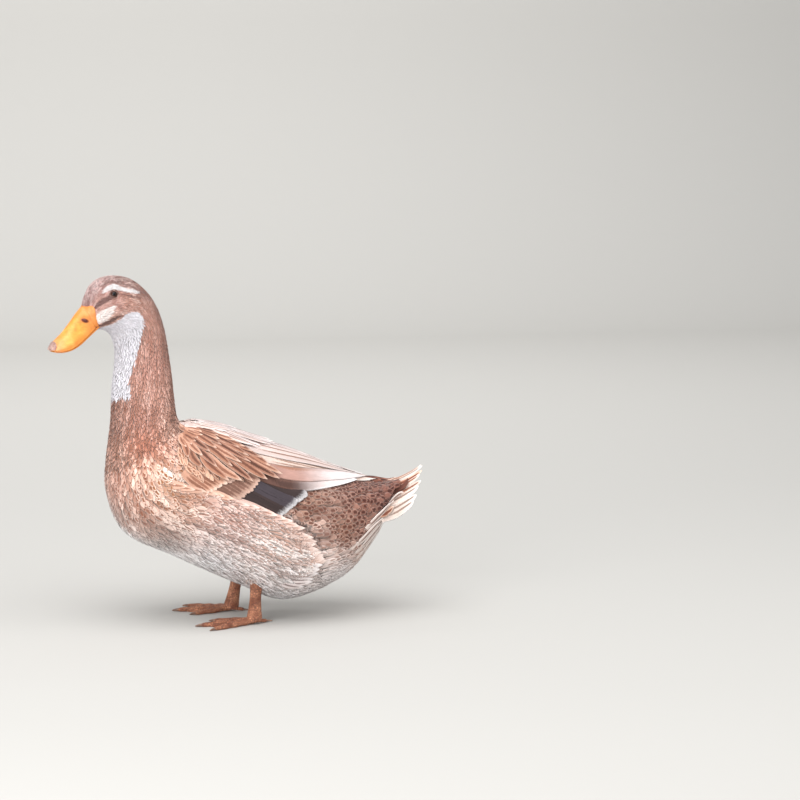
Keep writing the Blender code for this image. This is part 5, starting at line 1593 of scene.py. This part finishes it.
# %% [markdown]
# ## Legs and feet
#
# The shank and the toes are covered in horny scales: a row of broad plates in front and on top of the toes,
# and small rounded ones elsewhere. The three front toes are joined by webs of thin skin, which hang slack
# between them and end in a shallow curve. Shank, toes and webs are made as separate solids and then melted
# into one by a Remesh modifier, which rounds the corners between them as skin does.

# %% The sizes of the legs
LEGS = {
    # ankle x and y, lean and turn, in millimetres and degrees
    "left": (12.5, -41, 5, 4),
    "right": (-5, 41, 16, -8),
}
SHANK_TOP = 78 * MM
SHANK = (
    # height, fore-aft radius, side radius
    (78, 9.5, 7.5), (62, 9, 7.2), (48, 7.7, 6.1), (32, 7.1, 5.5), (17, 8.3, 6.4), (8, 9.4, 7.6), (3, 8, 7),
)
TOES = {
    # spread from straight ahead towards the other foot in degrees, length and radius in mm, number of joints
    "inner": (27, 50, 3.9, 2),
    "middle": (0, 66, 4.3, 3),
    "outer": (-25, 60, 4.0, 4),
    "hind": (168, 17, 2.8, 1),
}
TOE_STEPS = 60
CLAW_LENGTH = 8 * MM
PLATE = 3.2 * MM  # the spacing of the broad plates


def plates(lengths, angles, front):
    """Broad overlapping plates on the side that faces the front angle."""
    saw = (lengths / PLATE) % 1.0
    step = 0.6 * MM * (saw**1.5 - 0.4) * ease((0.08 - (1 - saw)) / -0.08 + 1)
    return step * ease((np.cos(angles - front) + 0.15) / 0.5)


def tube_rings(path, radii_a, radii_b, sides, plated=None):
    """Rings round a path, with plates on the side that faces an angle, where one is given."""
    angles = np.linspace(0, 2 * math.pi, sides, endpoint=False)
    ahead = unit(np.gradient(path, axis=0))
    hint = np.where(np.abs(ahead[:, 2:3]) > 0.7, (0.0, 1.0, 0.0), (0.0, 0.0, 1.0))
    first = unit(np.cross(hint, ahead))
    second = np.cross(ahead, first)
    lengths = np.concatenate([[0], np.cumsum(np.linalg.norm(np.diff(path, axis=0), axis=1))])
    bulge = 0.0 if plated is None else plates(lengths[:, None], angles[None], plated)
    a = (np.asarray(radii_a)[:, None] + bulge) * np.cos(angles)
    b = (np.asarray(radii_b)[:, None] + bulge) * np.sin(angles)
    return path[:, None] + a[..., None] * first[:, None] + b[..., None] * second[:, None]


def melt(name, pieces, voxel):
    """One mesh from overlapping solids, by a Remesh modifier and a little smoothing."""
    points, faces, count = [], [], 0
    for piece in pieces:
        points.append(points_of(piece))
        faces += [[i + count for i in polygon.vertices] for polygon in piece.data.polygons]
        count += len(piece.data.vertices)
        bpy.data.objects.remove(piece)
    thing = mesh_object(name, np.concatenate(points), faces)
    remesh = thing.modifiers.new("melt", "REMESH")
    remesh.mode, remesh.voxel_size, remesh.use_smooth_shade = "VOXEL", voxel, True
    smooth = thing.modifiers.new("soften", "SMOOTH")
    smooth.factor, smooth.iterations = 0.5, 1
    settle(thing).data.shade_smooth()
    return thing


print("plates on a shank:", round(0.045 / PLATE))

# %% One leg
def upright(heights):
    """Steps straight up, as points."""
    return np.outer(heights, (0, 0, 1))


def toe_path(start, heading, length, joints):
    share = np.linspace(0, 1, TOE_STEPS)
    ahead = np.array((-math.cos(heading), -math.sin(heading), 0.0))
    height = through(((5.4,), (4.3,), (3.4,), (2.9,), (2.3,)), share * 4)[:, 0] * MM
    knuckles = 0.10 * np.cos(share * math.pi * 2 * joints) * ease(share / 0.1)
    return start + ahead * (length * share)[:, None] + upright(height), knuckles, ahead


def leg(side, ankle_x, ankle_y, lean, turn):
    x, y = ankle_x * MM, ankle_y * MM
    inwards = 1 if y > 0 else -1
    steps = np.linspace(0, len(SHANK) - 1, 120)
    heights, fore, wide = through(SHANK, steps).T * MM
    path = np.stack([x + lean * MM * (heights - 4 * MM) / SHANK_TOP, np.full(len(steps), y), heights], -1)
    shank = closed_loft("shank", tube_rings(path, fore, wide, 40, math.pi))
    pieces, claws, lines = [shank], [], {}
    for toe, (spread, length, radius, joints) in TOES.items():
        heading = math.radians(turn + spread * inwards)
        path, knuckles, ahead = toe_path(np.array((x, y, 0.0)), heading, length * MM, joints)
        share = np.linspace(0, 1, TOE_STEPS)
        taper = np.interp(share, (0, 0.35, 0.65, 0.9, 1), (1.15, 1.0, 0.92, 0.78, 0.45))
        radii = taper * radius * MM * (1 + knuckles)
        pieces.append(closed_loft(toe, tube_rings(path, radii, radii * 0.92, 24, math.pi / 2)))
        lines[toe] = path
        claw_share = np.linspace(-0.35, 1.0, 16)
        drop = -0.9 * MM * np.clip(claw_share, 0, 1) ** 2
        claw_path = path[-1] + ahead * (CLAW_LENGTH * claw_share)[:, None] + upright(drop)
        size = radius * MM * np.interp(claw_share, (-0.35, 0.3, 0.8, 1.0), (0.50, 0.42, 0.26, 0.08))
        claws.append(tube_rings(claw_path, size * 0.8, size, 14))
    for first, second in (("inner", "middle"), ("middle", "outer")):
        along, across = np.meshgrid(np.linspace(0.02, 1.0, 40), np.linspace(0, 1, 21), indexing="ij")
        reach = 0.93 - 0.13 * np.sin(math.pi * across)
        index = along * reach * (TOE_STEPS - 1)
        sheet = through(lines[first], index) * (1 - across[..., None])
        sheet = sheet + through(lines[second], index) * across[..., None]
        sag = np.sin(math.pi * across)
        ripple = 0.25 * MM * np.sin(along * 34 + across * 5) * sag
        sheet[..., 2] = np.maximum(3.6 * MM - 1.7 * MM * sag - 1.1 * MM * along, 1.0 * MM) + ripple
        top, under = sheet + (0, 0, 0.7 * MM), sheet - (0, 0, 1.4 * MM)
        pieces.append(closed_loft("web", np.concatenate([top, under[:, ::-1]], 1)))
    whole = melt("leg_and_foot_" + side, pieces, 0.5 * MM)
    points = points_of(whole)
    points[:, 2] = np.maximum(points[:, 2], 0.0)
    whole.data.vertices.foreach_set("co", points.ravel())
    size = claws[0].shape[0] * claws[0].shape[1]
    one = closed_faces(*claws[0].shape[:2])
    claw_faces = [[i + n * size for i in face] for n in range(len(claws)) for face in one]
    claw_points = np.maximum(np.concatenate([claw.reshape(-1, 3) for claw in claws]), (-1, -1, 0.0))
    return whole, mesh_object("claws_" + side, claw_points, claw_faces)

# %% [markdown]
# Leg skin is dry horn over soft tissue: orange, darker and dustier in the joints between the scales. The
# small scales are cells of about 2 mm, and the clouds of colour are 12 mm across. Claws are plain brown
# horn.

# %% Scaled skin and claws
SCALE_MM = 2.2
leg_skin, tree, shader = new_material("leg skin, dry orange scales")
place = add(tree, "TexCoord", out="Object")
scales = {"Vector": place, "Scale": 1000 / SCALE_MM}
cells = add(tree, "TexVoronoi", scales, feature="DISTANCE_TO_EDGE")
joint = add(tree, "MapRange", (cells, 0.0, 0.22))
clouds = add(tree, "TexNoise", {"Vector": place, "Scale": 85.0, "Detail": 4.0})
ramp = add(tree, "ValToRGB", (clouds,), None)
set_ramp(ramp, ((0.34, "#86482f"), (0.66, "#dc9873")))
dusty = add(tree, "Mix", {0: joint, 6: paint("#5f3627"), 7: ramp.outputs[0]}, **RGBA)
bump = add(tree, "Bump", {"Height": joint, "Strength": 0.8, "Distance": 0.0005})
surface = {"Base Color": dusty, "Normal": bump, "Roughness": 0.55, "IOR": 1.5, "Subsurface Weight": 0.06}
add(tree, shader, surface | {"Subsurface Radius": (0.002, 0.001, 0.0006)})
BROWN_HORN = ("#4f3a30", "#7a5a4a", "#a07f6a")
claw_horn = horn("claws, brown horn", BROWN_HORN, 4, 0.4, 0.4, 0.0)[0]


def skirt(down, around, height=0.0):
    """A sleeve round the top of a leg: its centre is moved to each leg afterwards."""
    down, around = together(down, around)
    radius = through(((19.0,), (15.5,), (11.5,)), down)[..., 0] * MM + height
    level = np.interp(down, (0, 2), (76 * MM, 50 * MM))
    return np.stack([radius * 1.08 * np.cos(around), radius * 0.92 * np.sin(around), level], -1)


THIGH = ("#b9a59e", "#dccdc7", "#86716a", 0.3, 0.0, 0.2, 0.4)
for side, sizes in LEGS.items():
    whole, claws = leg(side, *sizes)
    finish(whole, leg_skin, ("leg_" + side, "foot_" + side))
    finish(claws, claw_horn)
    ankle_x, ankle_y, lean, _ = sizes
    sleeve = []
    for row, count in ((1.7, 15), (1.4, 14)):
        for around in np.linspace(0, 2 * math.pi, count, endpoint=False) + 0.1 * row:
            tip = row + 0.2 * dice.normal()
            path = np.array(((0.0, around), (tip / 2, around + 0.1), (tip, around + 0.15)))
            rings, values = lay_feather(skirt, path, 3.8, "pointed", 0.0, 1.0 - row * 0.4, THIGH)
            sleeve.append((rings + (ankle_x * MM + lean * MM * 0.7, ankle_y * MM, 0.0), values))
    gather("feathers_thigh_" + side, sleeve, large_feathers)

# %% [markdown]
# ## The studio
#
# The duck stands on a pale floor that curves up into a backdrop, as in a photographer's studio. The light
# is soft, like that of an overcast day: a large lamp overhead, a second one towards the camera's left for
# the forms of the face, weaker ones towards the tail, below the breast and on the backdrop, and a pale
# world that fills the shadows. Colours are shown without a film curve, so that the plumage keeps the tints
# of its table.

# %% Floor, lights and camera
FLOOR_REACH = 4.5
sweep = [(-FLOOR_REACH, 0.0), (3.2, 0.0)]
sweep += [(3.2 + 0.8 * math.sin(a), 0.8 - 0.8 * math.cos(a)) for a in np.linspace(0.1, math.pi / 2, 12)]
sweep += [(4.0, 3.4)]
floor_points = [(x, depth, height) for depth, height in sweep for x in (-FLOOR_REACH, FLOOR_REACH)]
floor_faces = [(2 * i, 2 * i + 1, 2 * i + 3, 2 * i + 2) for i in range(len(sweep) - 1)]
floor = mesh_object("studio_floor", floor_points, floor_faces)
floor_material, tree, shader = new_material("seamless paper, matt pale grey")
add(tree, shader, {"Base Color": paint("#c3c1bd"), "Roughness": 0.95, "Specular IOR Level": 0.1})
floor.data.materials.append(floor_material)

LAMPS = {
    # place, what it points at, size, watts
    "overhead": ((-0.2, -0.7, 2.1), (0, 0, 0.2), (2.0, 2.0), 44),
    "face side": ((-1.5, -1.9, 0.9), (0, 0, 0.22), (1.4, 1.4), 32),
    "tail side": ((1.8, -0.9, 1.0), (0, 0, 0.2), (1.0, 1.2), 9),
    "backdrop": ((0, 1.6, 2.8), (0, 3.9, 1.1), (3.0, 1.0), 75),
    "low fill": ((-0.5, -1.8, 0.3), (0, 0, 0.1), (1.8, 0.5), 5.5),
}
for name, (place, target, size, watts) in LAMPS.items():
    lamp = bpy.data.lights.new(name, "AREA")
    lamp.shape, lamp.energy = "RECTANGLE", watts
    lamp.size, lamp.size_y = size
    thing = bpy.data.objects.new(name, lamp)
    thing.location = place
    thing.rotation_euler = (Vector(target) - Vector(place)).to_track_quat("-Z", "Y").to_euler()
    bpy.context.collection.objects.link(thing)

world = bpy.data.worlds.new("studio")
world.use_nodes = True
sky = {"Color": paint("#eef0f2"), "Strength": 0.62}
add(world.node_tree, world.node_tree.nodes["Background"], sky)
bpy.context.scene.world = world
bpy.context.scene.view_settings.view_transform = "Standard"

# %% [markdown]
# The camera looks from the duck's left side, a little from the front and from above. Its distance and its
# lens are worked out from the size that the duck has in the picture: 1.24 mm of duck to a pixel, and her
# middle below the left half of the frame.

# %% The camera
AZIMUTH, ELEVATION = math.radians(-8), math.radians(8.5)
DISTANCE = 3.2
MM_PER_PIXEL = 1.24
MIDDLE = Vector((0, 0, 0.210))  # a point inside the duck, and the pixel where it is seen
MIDDLE_PIXEL = (238, 449)
PIXELS = 800
SENSOR = 36.0
rightwards = Vector((math.cos(AZIMUTH), math.sin(AZIMUTH), 0))
level = Vector((math.sin(AZIMUTH), -math.cos(AZIMUTH), 0))
backwards = level * math.cos(ELEVATION) + Vector((0, 0, math.sin(ELEVATION)))
upwards = backwards.cross(rightwards)
aim = MIDDLE + rightwards * (PIXELS / 2 - MIDDLE_PIXEL[0]) * MM_PER_PIXEL * MM
aim += upwards * (MIDDLE_PIXEL[1] - PIXELS / 2) * MM_PER_PIXEL * MM
place = MIDDLE + backwards * DISTANCE
lens = bpy.data.cameras.new("camera")
lens.sensor_width = SENSOR
lens.lens = SENSOR * (aim - place).length / (MM_PER_PIXEL * MM * PIXELS)
camera = bpy.data.objects.new("camera", lens)
camera.location = place
camera.rotation_euler = (place - aim).to_track_quat("Z", "Y").to_euler()
bpy.context.collection.objects.link(camera)
bpy.context.scene.camera = camera
print("lens in mm:", round(lens.lens, 1))

# %% Helpers are put away
for helper in (form, shoulder_form, short_vane, pointed_vane, long_vane, round_vane):
    bpy.data.objects.remove(helper)
